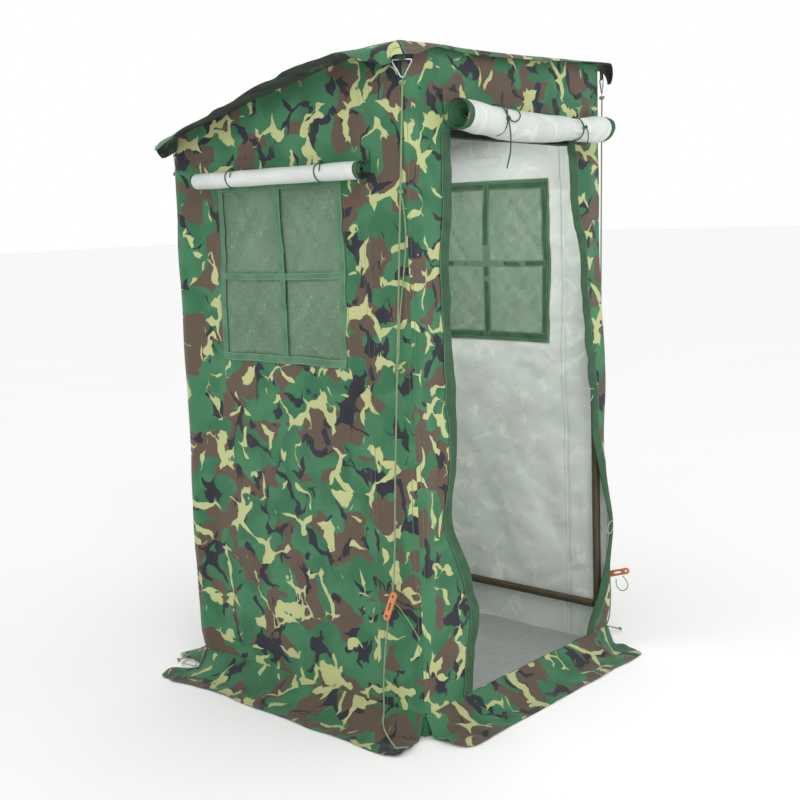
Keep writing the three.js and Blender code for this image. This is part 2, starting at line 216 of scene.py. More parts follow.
def camouflage(g, where):
    """A woodland print: green ground, brown patches, black branches and khaki antler shapes."""

    def bend(by, scale, amount):
        colour = g.noise(by, scale, 1.0).outputs["Color"]
        return g.vector("SCALE", g.vector("SUBTRACT", colour, (0.5, 0.5, 0.5)), amount)

    bent = g.vector("ADD", where, bend(where, 7.0, 0.12))
    bent = g.vector("ADD", bent, bend(where, 19.0, 0.040))
    bent = g.vector("ADD", bent, bend(where, 55.0, 0.010))

    def branches(offset, scale, stretch, mask_scale, mask_cut, width):
        moved = g.vector("MULTIPLY", g.vector("ADD", bent, offset), stretch)
        cells = g.node("ShaderNodeTexVoronoi", {"Vector": moved, "Scale": scale}, feature="DISTANCE_TO_EDGE")
        edge = cells.outputs[0]
        mask = g.noise(g.vector("ADD", where, offset), mask_scale, 1.0).outputs[0]
        reach = g.mul(g.sub(mask, mask_cut), width)
        return g.step(g.sub(g.math("MINIMUM", reach, 0.088), edge), 0.0, 0.014)

    patches = g.step(g.noise(g.vector("MULTIPLY", bent, (1.0, 1.25, 1.0)), 6.6, 1.0).outputs[0], 0.538, 0.008)
    black = branches((3.1, 7.7, 0.0), 8.6, (1.0, 0.7, 1.0), 10.0, 0.484, 0.62)
    khaki = branches((1.3, 4.9, 0.0), 8.4, (1.0, 0.9, 1.0), 10.5, 0.482, 0.60)
    ground = g.mix(g.step(g.noise(bent, 9.0).outputs[0], 0.5, 0.25), GREEN, GREEN_LIGHT)
    color = g.mix(patches, ground, BROWN)
    color = g.mix(black, color, BLACK)
    return g.mix(khaki, color, KHAKI)


def weave(g, where, pitch):
    """Height of a plain weave, from 0 to 1."""
    scaled = g.vector("SCALE", where, 2 * math.pi / pitch)
    parts = g.node("ShaderNodeSeparateXYZ", {0: scaled}).outputs
    crossed = g.mul(g.math("SINE", parts[0]), g.math("SINE", parts[1]))
    return g.mul_add(crossed, 0.5, 0.5)


def stitching(g, parts, inset):
    """1 on the stitches of a seam at that distance from the sewn edge."""
    off = g.math("ABSOLUTE", g.sub(parts[2], inset))
    on_line = g.math("LESS_THAN", off, 0.0008)
    run = g.math("FRACT", g.mul(g.add(parts[0], parts[1]), 220.0))
    return g.mul(on_line, g.math("LESS_THAN", run, 0.68))


def faded(g, color, where, amount=0.16):
    """The colour with broad uneven fading and fine speckle."""
    broad = g.noise(where, 3.0, 4.0, 0.6).outputs[0]
    speckle = g.noise(where, 420.0, 1.0).outputs[0]
    value = g.mul_add(broad, amount * 2, 1.0 - amount)
    value = g.mul(value, g.mul_add(speckle, 0.16, 0.92))
    return g.node("ShaderNodeHueSaturation", {"Value": value, "Color": color}).outputs[0]


def camo_cloth(name="camo_cloth", hung=None, dark=1.0):
    """hung is (axis, sign, shift) for a flap that unrolls over a wall: its print goes on from the wall's."""
    g = Graph(name)
    where, parts = g.cloth()
    if hung:
        axis, sign, shift = hung
        place = g.node("ShaderNodeSeparateXYZ", {0: g.place()}).outputs
        along = g.mul_add(place[axis], sign, shift)
        where = g.node("ShaderNodeCombineXYZ", {0: along, 1: place[2]}).outputs[0]
    color = faded(g, camouflage(g, where), where)
    stitches = stitching(g, parts, 0.009)
    color = g.mix(stitches, color, rgb(96, 116, 84))
    # dark below 1 mixes the print toward near-black: painted shade for sheets that lie in shade
    if dark < 1:
        color = g.mix(1 - dark, color, rgb(20, 26, 22))
    height = g.mul_add(stitches, 1.6, weave(g, where, 0.0014))
    g.bump(height, 0.00022, 0.7)
    rough = g.mul_add(g.noise(where, 40.0, 2.0).outputs[0], 0.14, 0.68)
    return g.finish(color, rough, Specular_IOR_Level=0.3, Sheen_Weight=0.12, Sheen_Roughness=0.5)


def lining_cloth():
    """White coated inside of the cloth, through which the print shows faintly."""
    g = Graph("lining_cloth")
    where, parts = g.cloth()
    print_seen = g.noise(where, 2.2, 2.0).outputs[0]
    share = g.mul_add(g.step(print_seen, 0.5, 0.5), 0.16, 0.10)
    color = g.mix(share, rgb(226, 231, 227), camouflage(g, where))
    grime = g.mul(g.step(g.noise(where, 7.0, 4.0, 0.65).outputs[0], 0.6, 0.3), 0.2)
    color = g.mix(grime, color, rgb(164, 172, 164))
    stitches = stitching(g, parts, 0.009)
    color = g.mix(stitches, color, rgb(120, 132, 122))
    crinkle = g.noise(where, 55.0, 4.0, 0.6).outputs[0]
    height = g.add(crinkle, g.mul(weave(g, where, 0.0014), 0.12))
    g.bump(height, 0.0016, 0.5)
    rough = g.mul_add(crinkle, 0.25, 0.34)
    return g.finish(color, rough, Specular_IOR_Level=0.45)


def tape_cloth(name, light, deep):
    """Ribbed woven tape with a row of stitches near each edge."""
    g = Graph(name)
    where, parts = g.cloth()
    rib = g.math("SINE", g.mul(g.add(parts[0], parts[1]), 2 * math.pi / 0.0016))
    blotch = g.noise(where, 16.0, 3.0, 0.6).outputs[0]
    color = g.mix(g.step(blotch, 0.5, 0.5), deep, light)
    color = g.mix(g.mul_add(rib, 0.06, 0.06), color, rgb(24, 44, 30))
    stitches = stitching(g, parts, 0.003)
    color = g.mix(stitches, color, rgb(132, 158, 128))
    g.bump(g.add(rib, g.mul(stitches, 2.0)), 0.0002, 0.6)
    rough = g.mul_add(blotch, 0.15, 0.68)
    return g.finish(color, rough, Specular_IOR_Level=0.3)


def window_mesh_cloth():
    """Fine mesh: threads with small square holes between them."""
    g = Graph("window_mesh")
    where, parts = g.cloth()
    pitch = 0.0016

    def gap(along):
        phase = g.math("FRACT", g.math("DIVIDE", along, pitch))
        return g.math("LESS_THAN", g.math("ABSOLUTE", g.sub(phase, 0.5)), 0.215)

    hole = g.mul(gap(parts[0]), gap(parts[1]))
    cloudy = g.noise(where, 4.0, 3.0).outputs[0]
    color = g.mix(g.step(cloudy, 0.5, 0.6), rgb(92, 124, 96), rgb(112, 142, 116))
    g.bump(g.sub(1.0, hole), 0.0003, 0.4)
    rough = g.mul_add(cloudy, 0.2, 0.5)
    return g.finish(color, rough, Alpha=g.sub(1.0, hole), Specular_IOR_Level=0.35)


def groundsheet_cloth():
    g = Graph("groundsheet_cloth")
    where = g.cloth()[0]
    streak = g.noise(g.vector("MULTIPLY", where, (1.0, 5.0, 1.0)), 14.0, 4.0, 0.6).outputs[0]
    dust = g.noise(where, 5.0, 4.0, 0.6).outputs[0]
    color = g.mix(g.step(streak, 0.5, 0.5), rgb(146, 149, 147), rgb(160, 163, 160))
    color = g.mix(g.mul(g.step(dust, 0.58, 0.25), 0.35), color, rgb(176, 172, 160))
    g.bump(g.add(weave(g, where, 0.002), g.mul(streak, 2.0)), 0.0004, 0.5)
    rough = g.mul_add(dust, 0.25, 0.45)
    return g.finish(color, rough, Specular_IOR_Level=0.4)


def scaled_color(color, by):
    return tuple(c * by for c in color[:3]) + (1.0,)


def painted(name, color, worn, roughness):
    """Paint over steel: brushed streaks, dust, and rubbed spots of a lighter worn colour."""
    g = Graph(name)
    where = g.place()
    blotch = g.noise(where, 22.0, 4.0, 0.6).outputs[0]
    drawn_out = g.vector("MULTIPLY", where, (1.0, 1.0, 0.25))
    scuffs = g.step(g.noise(drawn_out, 130.0, 3.0, 0.7).outputs[0], 0.66, 0.06)
    base = g.mix(g.step(blotch, 0.5, 0.5), color, scaled_color(color, 1.5))
    base = g.mix(g.mul(scuffs, 0.7), base, worn)
    g.bump(g.noise(where, 700.0, 2.0).outputs[0], 0.00025, 0.5)
    rough = g.mul_add(blotch, 0.2, roughness)
    return g.finish(base, rough, Metallic=0.15)


def moulded(name, color, roughness):
    """Moulded plastic with a fine grain and scratches."""
    g = Graph(name)
    where = g.place()
    cloudy = g.noise(where, 60.0, 3.0).outputs[0]
    narrow = g.vector("MULTIPLY", where, (1.0, 6.0, 1.0))
    scratches = g.step(g.noise(narrow, 220.0, 2.0).outputs[0], 0.68, 0.05)
    base = g.mix(g.mul(g.step(cloudy, 0.5, 0.4), 0.35), color, scaled_color(color, 0.72))
    base = g.mix(g.mul(scratches, 0.3), base, rgb(236, 206, 170))
    g.bump(g.noise(where, 900.0, 2.0).outputs[0], 0.0002, 0.5)
    rough = g.mul_add(cloudy, 0.2, roughness)
    return g.finish(base, rough, Specular_IOR_Level=0.5)


def zinc_wire():
    g = Graph("ring_wire")
    where = g.place()
    spangle = g.node("ShaderNodeTexVoronoi", {"Vector": where, "Scale": 400.0}).outputs["Color"]
    value = g.node("ShaderNodeSeparateColor", {0: spangle}).outputs[0]
    base = g.mix(value, rgb(176, 180, 182), rgb(214, 216, 216))
    g.bump(g.noise(where, 500.0, 2.0).outputs[0], 0.0002, 0.4)
    rough = g.mul_add(value, 0.2, 0.24)
    return g.finish(base, rough, Metallic=1.0)


def braided(name, light, deep):
    """Braided cord: crossing strands that run round it both ways."""
    g = Graph(name)
    where, parts = g.cloth()
    turn = 2 * math.pi / 0.0042
    one = g.math("SINE", g.mul(g.add(parts[0], parts[1]), turn))
    other = g.math("SINE", g.mul(g.sub(parts[0], parts[1]), turn))
    strand = g.mul_add(g.math("MAXIMUM", one, other), 0.5, 0.5)
    worn = g.noise(where, 30.0, 3.0).outputs[0]
    # The deep colour in the hollows between the strands is painted shade; on the crests the two colours vary
    # at random.
    base = g.mix(strand, deep, g.mix(worn, light, deep))
    g.bump(strand, 0.0006, 0.8)
    rough = g.mul_add(worn, 0.12, 0.76)
    return g.finish(base, rough, Specular_IOR_Level=0.25, Sheen_Weight=0.1)


M = {
    "camo": camo_cloth(),
    "camo_front": camo_cloth("camo_cloth_front", hung=(0, 1.0, 0.0)),
    "camo_right": camo_cloth("camo_cloth_right", hung=(1, 1.0, 3.7)),
    "camo_left": camo_cloth("camo_cloth_left", hung=(1, -1.0, 11.3)),
    # The print darkened almost to black: painted shade for the undersides of the roof and the skirts.
    "camo_underside_painted_shade": camo_cloth("camo_cloth_underside_painted_shade", dark=0.14),
    # A darker copy of the print: painted shade for the ground skirts.
    "camo_painted_shade": camo_cloth("camo_cloth_painted_shade", dark=0.84),
    "lining": lining_cloth(),
    "binding": tape_cloth("trim_tape", rgb(66, 104, 76), rgb(50, 84, 60)),
    "window_tape": tape_cloth("window_tape_cloth", rgb(98, 142, 110), rgb(78, 122, 92)),
    # Near-black tape: painted shade for the shadowed gap under the rolled door flap.
    "painted_shade_tape": tape_cloth("painted_shade_tape_cloth", rgb(24, 27, 26), rgb(14, 16, 16)),
    "mesh": window_mesh_cloth(),
    "floor": groundsheet_cloth(),
    "tube": painted("frame_paint", rgb(62, 55, 38), rgb(120, 112, 92), 0.38),
    "fitting": painted("fitting_paint", rgb(44, 42, 34), rgb(120, 116, 104), 0.42),
    "foot": moulded("foot_plastic", rgb(34, 34, 34), 0.5),
    "tensioner": moulded("tensioner_plastic", rgb(214, 134, 82), 0.36),
    "wire": zinc_wire(),
    "cord": braided("guy_cord", rgb(172, 186, 146), rgb(112, 130, 94)),
    "cord_dark": braided("tie_cord", rgb(74, 104, 74), rgb(44, 68, 48)),
    "cord_white": braided("loop_cord", rgb(204, 206, 192), rgb(140, 146, 130)),
}


# ---- Smooth noise and lines ----


def lattice(ix, iy, seed):
    """A fixed number from -1 to 1 for each whole-numbered place."""
    mask = 0xFFFFFFFF
    n = (ix * 374761393 + iy * 668265263 + seed * 1274126177) & mask
    n = ((n ^ (n >> 13)) * 1274126177) & mask
    return ((n ^ (n >> 16)) & 0xFFFF) / 32767.5 - 1


def ripple(u, v, cell, seed=0):
    """Smooth noise from -1 to 1 over (u, v), with features of about that size."""
    x, y = np.broadcast_arrays(np.asarray(u, float) / cell, np.asarray(v, float) / cell)
    ix, iy = np.floor(x).astype(np.int64), np.floor(y).astype(np.int64)
    fx, fy = x - ix, y - iy
    fx, fy = (f * f * f * (f * (f * 6 - 15) + 10) for f in (fx, fy))
    low = lattice(ix, iy, seed) * (1 - fx) + lattice(ix + 1, iy, seed) * fx
    high = lattice(ix, iy + 1, seed) * (1 - fx) + lattice(ix + 1, iy + 1, seed) * fx
    return low * (1 - fy) + high * fy


def folds(u, v, angle, cell, stretch, seed):
    """Long folds that run along a direction, given in degrees from the u axis."""
    c, s = math.cos(math.radians(angle)), math.sin(math.radians(angle))
    return ripple((u * c + v * s) / stretch, -u * s + v * c, cell, seed)


def fan(u, v, at, cell, reach, seed):
    """Folds that spread from a point where the cloth is held, and die out with distance."""
    du, dv = u - at[0], v - at[1]
    far = np.hypot(du, dv)
    around = np.arctan2(dv, du)
    return ripple(around, far / reach, cell, seed) * rise(far, 0.025, 0.16) * np.exp(-far / reach)


def full_turn(count):
    """Angles all the way round, for a closed loop."""
    return np.linspace(0, 2 * math.pi, count, endpoint=False)


def bell(x, middle, width):
    return np.exp(-(((np.asarray(x, float) - middle) / width) ** 2))


def rise(x, low, high):
    t = np.clip((np.asarray(x, float) - low) / (high - low), 0, 1)
    return t * t * (3 - 2 * t)


def eased(x, stations):
    """A smooth line through (place, value) stations, in rising order of place."""
    places, values = (np.array(a, float) for a in zip(*stations))
    x = np.asarray(x, float)
    i = np.clip(np.searchsorted(places, x) - 1, 0, len(places) - 2)
    t = np.clip((x - places[i]) / (places[i + 1] - places[i]), 0, 1)
    slope = np.gradient(values, places)
    h = places[i + 1] - places[i]
    return (
        values[i] * (1 + 2 * t) * (1 - t) ** 2
        + values[i + 1] * t * t * (3 - 2 * t)
        + slope[i] * h * t * (1 - t) ** 2
        - slope[i + 1] * h * t * t * (1 - t)
    )


def run_along(path):
    """How far along its path each point lies."""
    return np.concatenate([[0], np.cumsum(np.linalg.norm(np.diff(path, axis=0), axis=1))])


def through(points, spacing=0.004):
    """Points evenly spaced along a smooth curve through the given ones."""
    p = np.array(points, float)
    p = np.vstack([2 * p[0] - p[1], p, 2 * p[-1] - p[-2]])
    made = []
    for a, b, c, d in zip(p, p[1:], p[2:], p[3:]):
        k = [0.0]
        for m, n in ((a, b), (b, c), (c, d)):
            k.append(k[-1] + max(np.linalg.norm(n - m), 1e-9) ** 0.5)
        for t in np.linspace(k[1], k[2], 24, endpoint=False):
            a1 = (k[1] - t) / (k[1] - k[0]) * a + (t - k[0]) / (k[1] - k[0]) * b
            a2 = (k[2] - t) / (k[2] - k[1]) * b + (t - k[1]) / (k[2] - k[1]) * c
            a3 = (k[3] - t) / (k[3] - k[2]) * c + (t - k[2]) / (k[3] - k[2]) * d
            b1 = (k[2] - t) / (k[2] - k[0]) * a1 + (t - k[0]) / (k[2] - k[0]) * a2
            b2 = (k[3] - t) / (k[3] - k[1]) * a2 + (t - k[1]) / (k[3] - k[1]) * a3
            made.append((k[2] - t) / (k[2] - k[1]) * b1 + (t - k[1]) / (k[2] - k[1]) * b2)
    made = np.array([*made, p[-2]])
    run = run_along(made)
    steps = np.linspace(0, run[-1], max(4, int(run[-1] / spacing) + 1))
    return np.stack([np.interp(steps, run, made[:, k]) for k in range(3)], 1)


# ---- Meshes ----


def mesh_object(name, points, faces, kinds, coords, materials, sharp=50):
    mesh = bpy.data.meshes.new(name)
    mesh.from_pydata([tuple(p) for p in points], [], [tuple(f) for f in faces])
    for material in materials:
        mesh.materials.append(M[material])
    mesh.polygons.foreach_set("material_index", np.asarray(kinds, np.int32))
    mesh.polygons.foreach_set("use_smooth", np.ones(len(faces), bool))
    held = mesh.attributes.new("cloth", "FLOAT_VECTOR", "POINT")
    held.data.foreach_set("vector", np.asarray(coords, np.float32).ravel())
    mesh.set_sharp_from_angle(angle=math.radians(sharp))
    mesh.update()
    return add_object(name, mesh)


def on_cloth(along, up, edge):
    """The three numbers of the "cloth" attribute, for every point."""
    return np.stack(np.broadcast_arrays(along, up, edge), -1)


def point_normals(points, quads):
    a, b, c, d = (points[quads[:, k]] for k in range(4))
    normal = np.cross(c - a, d - b)
    total = np.zeros_like(points)
    for k in range(4):
        np.add.at(total, quads[:, k], normal)
    return total / np.maximum(np.linalg.norm(total, axis=1, keepdims=True), 1e-12)


def shell(name, grid, coords, materials, keep=None, thickness=CLOTH, face_kinds=None, flip=False):
    """A closed thin sheet from a grid of points, which is its outer face; the inner face lies behind it.
    materials are those of the outer face, the inner face, the rim and a hem. face_kinds is 4 where the hem's
    material covers the inner face, and 3 where it covers both faces."""
    rows, columns = grid.shape[:2]
    index = np.arange(rows * columns).reshape(rows, columns)
    quads = np.stack([index[:-1, :-1], index[:-1, 1:], index[1:, 1:], index[1:, :-1]], -1)
    if flip:
        quads = quads[..., ::-1]
    chosen = np.ones((rows - 1, columns - 1), bool) if keep is None else keep
    kinds = np.zeros((rows - 1, columns - 1), int) if face_kinds is None else face_kinds
    quads, kinds = quads[chosen], kinds[chosen]
    used, quads = np.unique(quads, return_inverse=True)
    quads = quads.reshape(-1, 4)
    points = grid.reshape(-1, 3)[used]
    flat = coords.reshape(-1, 3)[used]
    inner = points - point_normals(points, quads) * thickness
    shift = len(points)
    edges = {}
    for q in quads:
        for k in range(4):
            a, b = int(q[k]), int(q[(k + 1) % 4])
            if (b, a) in edges:
                del edges[(b, a)]
            else:
                edges[(a, b)] = True
    rim = [(b, a, a + shift, b + shift) for a, b in edges]
    inner_kinds = np.where(kinds >= 3, 3, 1)
    kinds = np.where(kinds == 4, 0, kinds)
    faces = [*quads.tolist(), *(quads[:, ::-1] + shift).tolist(), *rim]
    all_kinds = [*kinds.tolist(), *inner_kinds.tolist(), *[2] * len(rim)]
    return mesh_object(name, np.vstack([points, inner]), faces, all_kinds, np.vstack([flat, flat]), materials)


def tube(name, path, radius, material, sides=10, closed=False):
    """A round cord along a path. Its coordinates run along it and round it."""
    path = np.asarray(path, float)
    n = len(path)
    ahead = np.gradient(path, axis=0)
    if closed:
        ahead = np.roll(path, -1, 0) - np.roll(path, 1, 0)
    ahead /= np.linalg.norm(ahead, axis=1, keepdims=True)
    side = np.cross(ahead[0], (0.31, 0.21, 0.93))
    side /= np.linalg.norm(side)
    rings, coords = [], []
    run = run_along(path)
    radii = np.broadcast_to(np.asarray(radius, float), (n,))
    for i in range(n):
        side = side - ahead[i] * (side @ ahead[i])
        side /= np.linalg.norm(side)
        other = np.cross(ahead[i], side)
        for k in range(sides):
            angle = 2 * math.pi * k / sides
            rings.append(path[i] + radii[i] * (math.cos(angle) * side + math.sin(angle) * other))
            coords.append((run[i], angle * radii[i], 0))
    faces = []
    for i in range(n if closed else n - 1):
        for k in range(sides):
            a, b = i * sides + k, i * sides + (k + 1) % sides
            c, d = ((i + 1) % n) * sides + (k + 1) % sides, ((i + 1) % n) * sides + k
            faces.append((a, b, c, d))
    if not closed:
        faces.append(tuple(range(sides))[::-1])
        faces.append(tuple((n - 1) * sides + k for k in range(sides)))
    return mesh_object(name, rings, faces, [0] * len(faces), coords, [material], sharp=60)


def strap(name, path, across, width, material, thickness=0.0012):
    """A flat tape along a path; across gives the direction of its width at each point."""
    path, across = np.asarray(path, float), np.asarray(across, float)
    if across.ndim == 1:
        across = np.tile(across, (len(path), 1))
    across = across / np.linalg.norm(across, axis=1, keepdims=True)
    run = run_along(path)
    stations = np.linspace(-0.5, 0.5, 7)
    grid = path[:, None] + across[:, None] * (stations * width)[None, :, None]
    coords = on_cloth(run[:, None], stations * width, (0.5 - np.abs(stations)) * width)
    return shell(name, grid, coords, [material] * 3, thickness=thickness)


def fit_in(made, node, body="cabin"):
    """Puts a piece in the place of its CAD node by hiding that node, and attaches the piece to the given body.
    """
    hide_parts(node)
    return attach(made, body)


def finish_mesh(mesh, material, sharp):
    """Gives a whole mesh one material and smooth faces, but for edges sharper than that angle."""
    mesh.materials.clear()
    mesh.materials.append(M[material])
    mesh.polygons.foreach_set("material_index", np.zeros(len(mesh.polygons), np.int32))
    mesh.polygons.foreach_set("use_smooth", np.ones(len(mesh.polygons), bool))
    mesh.set_sharp_from_angle(angle=math.radians(sharp))


# ---- Guy ropes ----

GUY_ROUTES = {
    "front_left": [
        (-0.530, -0.420, 0.470), (-0.531, -0.400, 0.380), (-0.532, -0.382, 0.280), (-0.534, -0.368, 0.150),
        (-0.540, -0.370, 0.062), (-0.556, -0.380, 0.048), (-0.578, -0.402, 0.036), (-0.600, -0.438, 0.024),
        (-0.618, -0.476, 0.015), (-0.630, -0.506, 0.009),
    ],
    "front_right": [
        (0.526, -0.462, 0.470), (0.527, -0.472, 0.380), (0.528, -0.492, 0.290), (0.530, -0.500, 0.190),
        (0.536, -0.490, 0.090), (0.552, -0.470, 0.052), (0.574, -0.450, 0.038), (0.598, -0.440, 0.024),
        (0.618, -0.452, 0.015), (0.630, -0.478, 0.009),
    ],
    "rear_left": [
        (-0.412, 0.524, 0.470), (-0.405, 0.526, 0.380), (-0.398, 0.529, 0.280), (-0.390, 0.533, 0.150),
        (-0.392, 0.541, 0.068), (-0.408, 0.558, 0.054), (-0.434, 0.575, 0.044), (-0.464, 0.590, 0.033),
        (-0.494, 0.603, 0.024), (-0.520, 0.613, 0.012), (-0.541, 0.621, 0.006),
    ],
}
GUY_ROUTES["rear_right"] = [(-x, y, z) for x, y, z in GUY_ROUTES["rear_left"]]
TENSIONER_AT = {  # height, Y and tilt in degrees
    "front_left": (0.402, -0.412, 24),
    "front_right": (0.256, -0.526, 72),
    "rear_left": (0.330, 0.546, 20),
    "rear_right": (0.330, 0.546, 20),
}


def knot(name, at, size, material, body, along=(0, 0, 1)):
    """A small overhand knot: two turns of cord wound round each other."""
    turn = full_turn(40)
    x = np.sin(turn) + 2 * np.sin(2 * turn)
    y = np.cos(turn) - 2 * np.cos(2 * turn)
    z = -np.sin(3 * turn) * 1.3
    path = np.stack([x, y, z], 1) * size / 6
    spin = np.array(Vector((0, 0, 1)).rotation_difference(Vector(along)).to_matrix())
    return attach(tube(name, path @ spin.T + np.array(at), size / 5.2, material, closed=True, sides=8), body)


def roof_plane(y):
    return ROOF_REAR + (ROOF_FRONT - ROOF_REAR) * (HALF - y)


def ring_bar(sx, sy):
    out = math.sqrt(0.5) * RING_OUT
    return np.array([sx * (HALF + out), sy * (HALF + out), roof_plane(sy * HALF) - RING_DROP])


def tensioner(where, at, sy, tilt):
    """A flat bar with round ends and an eye at each end, its edges rounded over."""
    length, width, thickness = TENSIONER
    curve = bpy.data.curves.new(f"tensioner_outline_{where}", "CURVE")
    curve.dimensions = "2D"
    curve.fill_mode = "BOTH"
    curve.extrude = thickness / 2 - 0.0016
    curve.bevel_depth = 0.0016
    curve.bevel_resolution = 3
    curve.offset = -0.0016

    def ring(points):
        spline = curve.splines.new("POLY")
        spline.points.add(len(points) - 1)
        for p, (u, v) in zip(spline.points, points):
            p.co = (u, v, 0, 1)
        spline.use_cyclic_u = True

    def slot(low, high, radius):
        top = [(radius * math.cos(a), high + radius * math.sin(a)) for a in np.linspace(0, math.pi, 14)]
        return top + [(-u, low + high - v) for u, v in top]

    ring(slot(-length / 2 + width / 2, length / 2 - width / 2, width / 2))
    for middle in (-0.36 * length, 0.36 * length):
        ring(slot(middle, middle, 0.0052))
    ring(slot(-0.012, 0.012, 0.0032))
    shape = add_object(f"tensioner_bar_{where}", curve)
    bpy.context.view_layer.update()
    mesh = bpy.data.meshes.new_from_object(shape.evaluated_get(bpy.context.evaluated_depsgraph_get()))
    bpy.data.objects.remove(shape)
    # The bar is drawn in X-Y; it stands with its length up, its width along Y and its thickness along X
    upright = Matrix(((0, 0, 1), (1, 0, 0), (0, 1, 0))).to_4x4()
    lean = Matrix.Rotation(-sy * math.radians(tilt), 4, "X")
    mesh.transform(Matrix.Translation(Vector(at)) @ lean @ upright)
    finish_mesh(mesh, "tensioner", 35)
    made = add_object(f"tensioner_bar_{where}", mesh)
    return fit_in(made, f"tensioner_{where}", f"tensioner_{where}")


def guy(where, sx, sy):
    bar = ring_bar(sx, sy)
    body = f"guy_{where}"
    out = np.array([sx, sy, 0]) * math.sqrt(0.5)
    sideways = np.array([-out[1], out[0], 0])
    # Ring: a triangle of round wire with bent corners
    half, foot = RING_WIDTH / 2 - RING_WIRE / 2, RING_HEIGHT - RING_WIRE
    outline = [(-half + 0.005, 0), (0, 0), (half - 0.005, 0), (half, -0.002), (half - 0.002, -0.008)]
    outline += [(0.012, -foot + 0.017), (0.0055, -foot + 0.004), (0, -foot)]
    outline += [(-u, v) for u, v in outline[1:-1][::-1]]
    ring_path = [bar + sideways * u + np.array([0, 0, v]) for u, v in outline]
    smooth = through([*ring_path, ring_path[0]], 0.0022)[:-1]
    ring = tube(f"ring_{where}", smooth, RING_SEEN / 2, "wire", closed=True, sides=12)
    fit_in(ring, f"guy_ring_{where}", body)

    # Tab: a strap folded round the ring's bar, its two ends sewn under the roof's corner
    bend = np.linspace(-math.pi / 2, math.pi / 2, 11)
    inner = RING_WIRE / 2 + 0.0016
    low = [bar + out * (inner * math.sin(a)) - np.array([0, 0, inner * math.cos(a)]) for a in bend]
    rise_by = np.array([0, 0, 1.0])
    tab_path = [low[0] + rise_by * 0.034 - out * 0.001, low[0] + rise_by * 0.017, *low]
    tab_path += [low[-1] + rise_by * 0.017 - out * 0.001, low[-1] + rise_by * 0.032 - out * 0.0036]
    tab = strap(f"tab_{where}", tab_path, sideways, 0.022, "binding")
    fit_in(tab, f"guy_tab_{where}")

    # Rope
    route = [np.array(p) for p in GUY_ROUTES[where]]
    top = bar + np.array([0, 0, RING_WIRE / 2 - RING_HEIGHT - ROPE_D / 2 - 0.0004])
    straight = [top + (route[0] - top) * share for share in (0, 0.25, 0.5, 0.75)]
    path = through([*straight, *route])
    height, across, tilt = TENSIONER_AT[where]
    level = straight[0][0] + (route[0][0] - top[0]) * (top[2] - height) / (top[2] - route[0][2])
    x = level + sx * (ROPE_D / 2 + TENSIONER[2] / 2 + 0.0015)
    bar_piece = tensioner(where, (x, across, height), sy, tilt)
    end = knot(f"end_knot_{where}", path[-1] + np.array([0, 0, 0.002]), 0.011, "cord", body, (0.6, -0.6, 0.4))
    rope = tube(f"rope_{where}", path, ROPE_D / 2, "cord")
    fit_in(rope, f"guy_rope_{where}", body)
    hitch = knot(f"ring_hitch_{where}", path[0] + np.array([0, 0, -0.008]), 0.015, "cord", body)
    return path


rope_paths = {where: guy(where, sx, sy) for where, (sx, sy) in CORNERS.items()}


# ---- Walls ----

WALLS = {  # direction in which u grows, seen from outside left to right; outward direction
    "front": ((1, 0), (0, -1)),
    "right": ((0, 1), (1, 0)),
    "rear": ((-1, 0), (0, 1)),
    "left": ((0, -1), (-1, 0)),
}
CORNER_ROUND = 0.018
CORNER_FLAT = 0.482
CORNER_END = CORNER_FLAT + CORNER_ROUND * math.pi / 4
SEAM_U = 0.34  # the left and right walls' upright seam, as u on the left wall
CLOTH_SHIFT = {"front": 0.0, "right": 3.7, "rear": 7.1, "left": 11.3}  # where each wall lies on the print
PRINT_AT = {"skirt": 1.7, "roof": 17.0, "rolled": 23.0}  # where the other sheets lie on it
WALL_END = 0.4965  # the last u on a wall's outer face
SKIRT_TOP = 0.069
DOOR_LEFT = [
    (0.0, -0.285), (0.07, -0.272), (0.145, -0.263), (0.205, -0.251), (0.265, -0.244), (0.325, -0.242),
    (0.39, -0.254), (0.455, -0.268), (0.52, -0.292), (0.59, -0.322), (0.65, -0.332), (0.74, -0.325),
    (0.82, -0.318), (0.94, -0.318), (1.09, -0.314), (1.2, -0.319), (1.315, -0.320), (1.43, -0.317),
    (1.54, -0.315), (1.646, -0.309), (1.76, -0.302), (2.02, -0.300),
]
DOOR_RIGHT = [
    (0.0, 0.36), (0.085, 0.373), (0.145, 0.404), (0.205, 0.434), (0.25, 0.452), (0.30, 0.470),
    (0.36, 0.480), (0.43, 0.482), (0.50, 0.478), (0.575, 0.467), (0.645, 0.455), (0.72, 0.440),
    (0.79, 0.424), (0.85, 0.417), (0.935, 0.405), (1.07, 0.388), (1.20, 0.373), (1.33, 0.360),
    (1.416, 0.352), (1.455, 0.345), (1.48, 0.335), (1.55, 0.322), (1.643, 0.314), (1.735, 0.302),
    (1.76, 0.300), (2.02, 0.300),
]


def corner_slack(x_side, y_side, z):
    """How far a corner's edge stands out, along the corner's diagonal."""
    seed = 40 + 3 * x_side + y_side
    out = 0.0035 * ripple(z, 0.3, 0.16, seed) + 0.001
    if (x_side, y_side) == (-1, -1):
        out = out + 0.013 * bell(z, 0.70, 0.26) + 0.004 * bell(z, 1.25, 0.12)
    if (x_side, y_side) == (1, -1):
        out = out + 0.030 * bell(z, 0.42, 0.17) + 0.012 * bell(z, 0.95, 0.2)
        out = out + 0.018 * bell(z, 0.16, 0.12)
    if (x_side, y_side) == (-1, 1):
        out = out + 0.019 + 0.012 * (1 - np.clip(z, 0, 1.7) / 1.7)
    if (x_side, y_side) == (1, 1):
        out = out + 0.004
    return out


# How far the cloth crowns above the line of the rails, along the left and right eaves
CROWN = [(-0.54, 0.0), (-0.5, 0.002), (-0.44, 0.012), (-0.3, 0.017), (-0.02, 0.021), (0.06, 0.021),
         (0.14, 0.019), (0.3, 0.013), (0.42, 0.014), (0.5, 0.012), (0.6, 0.010)]


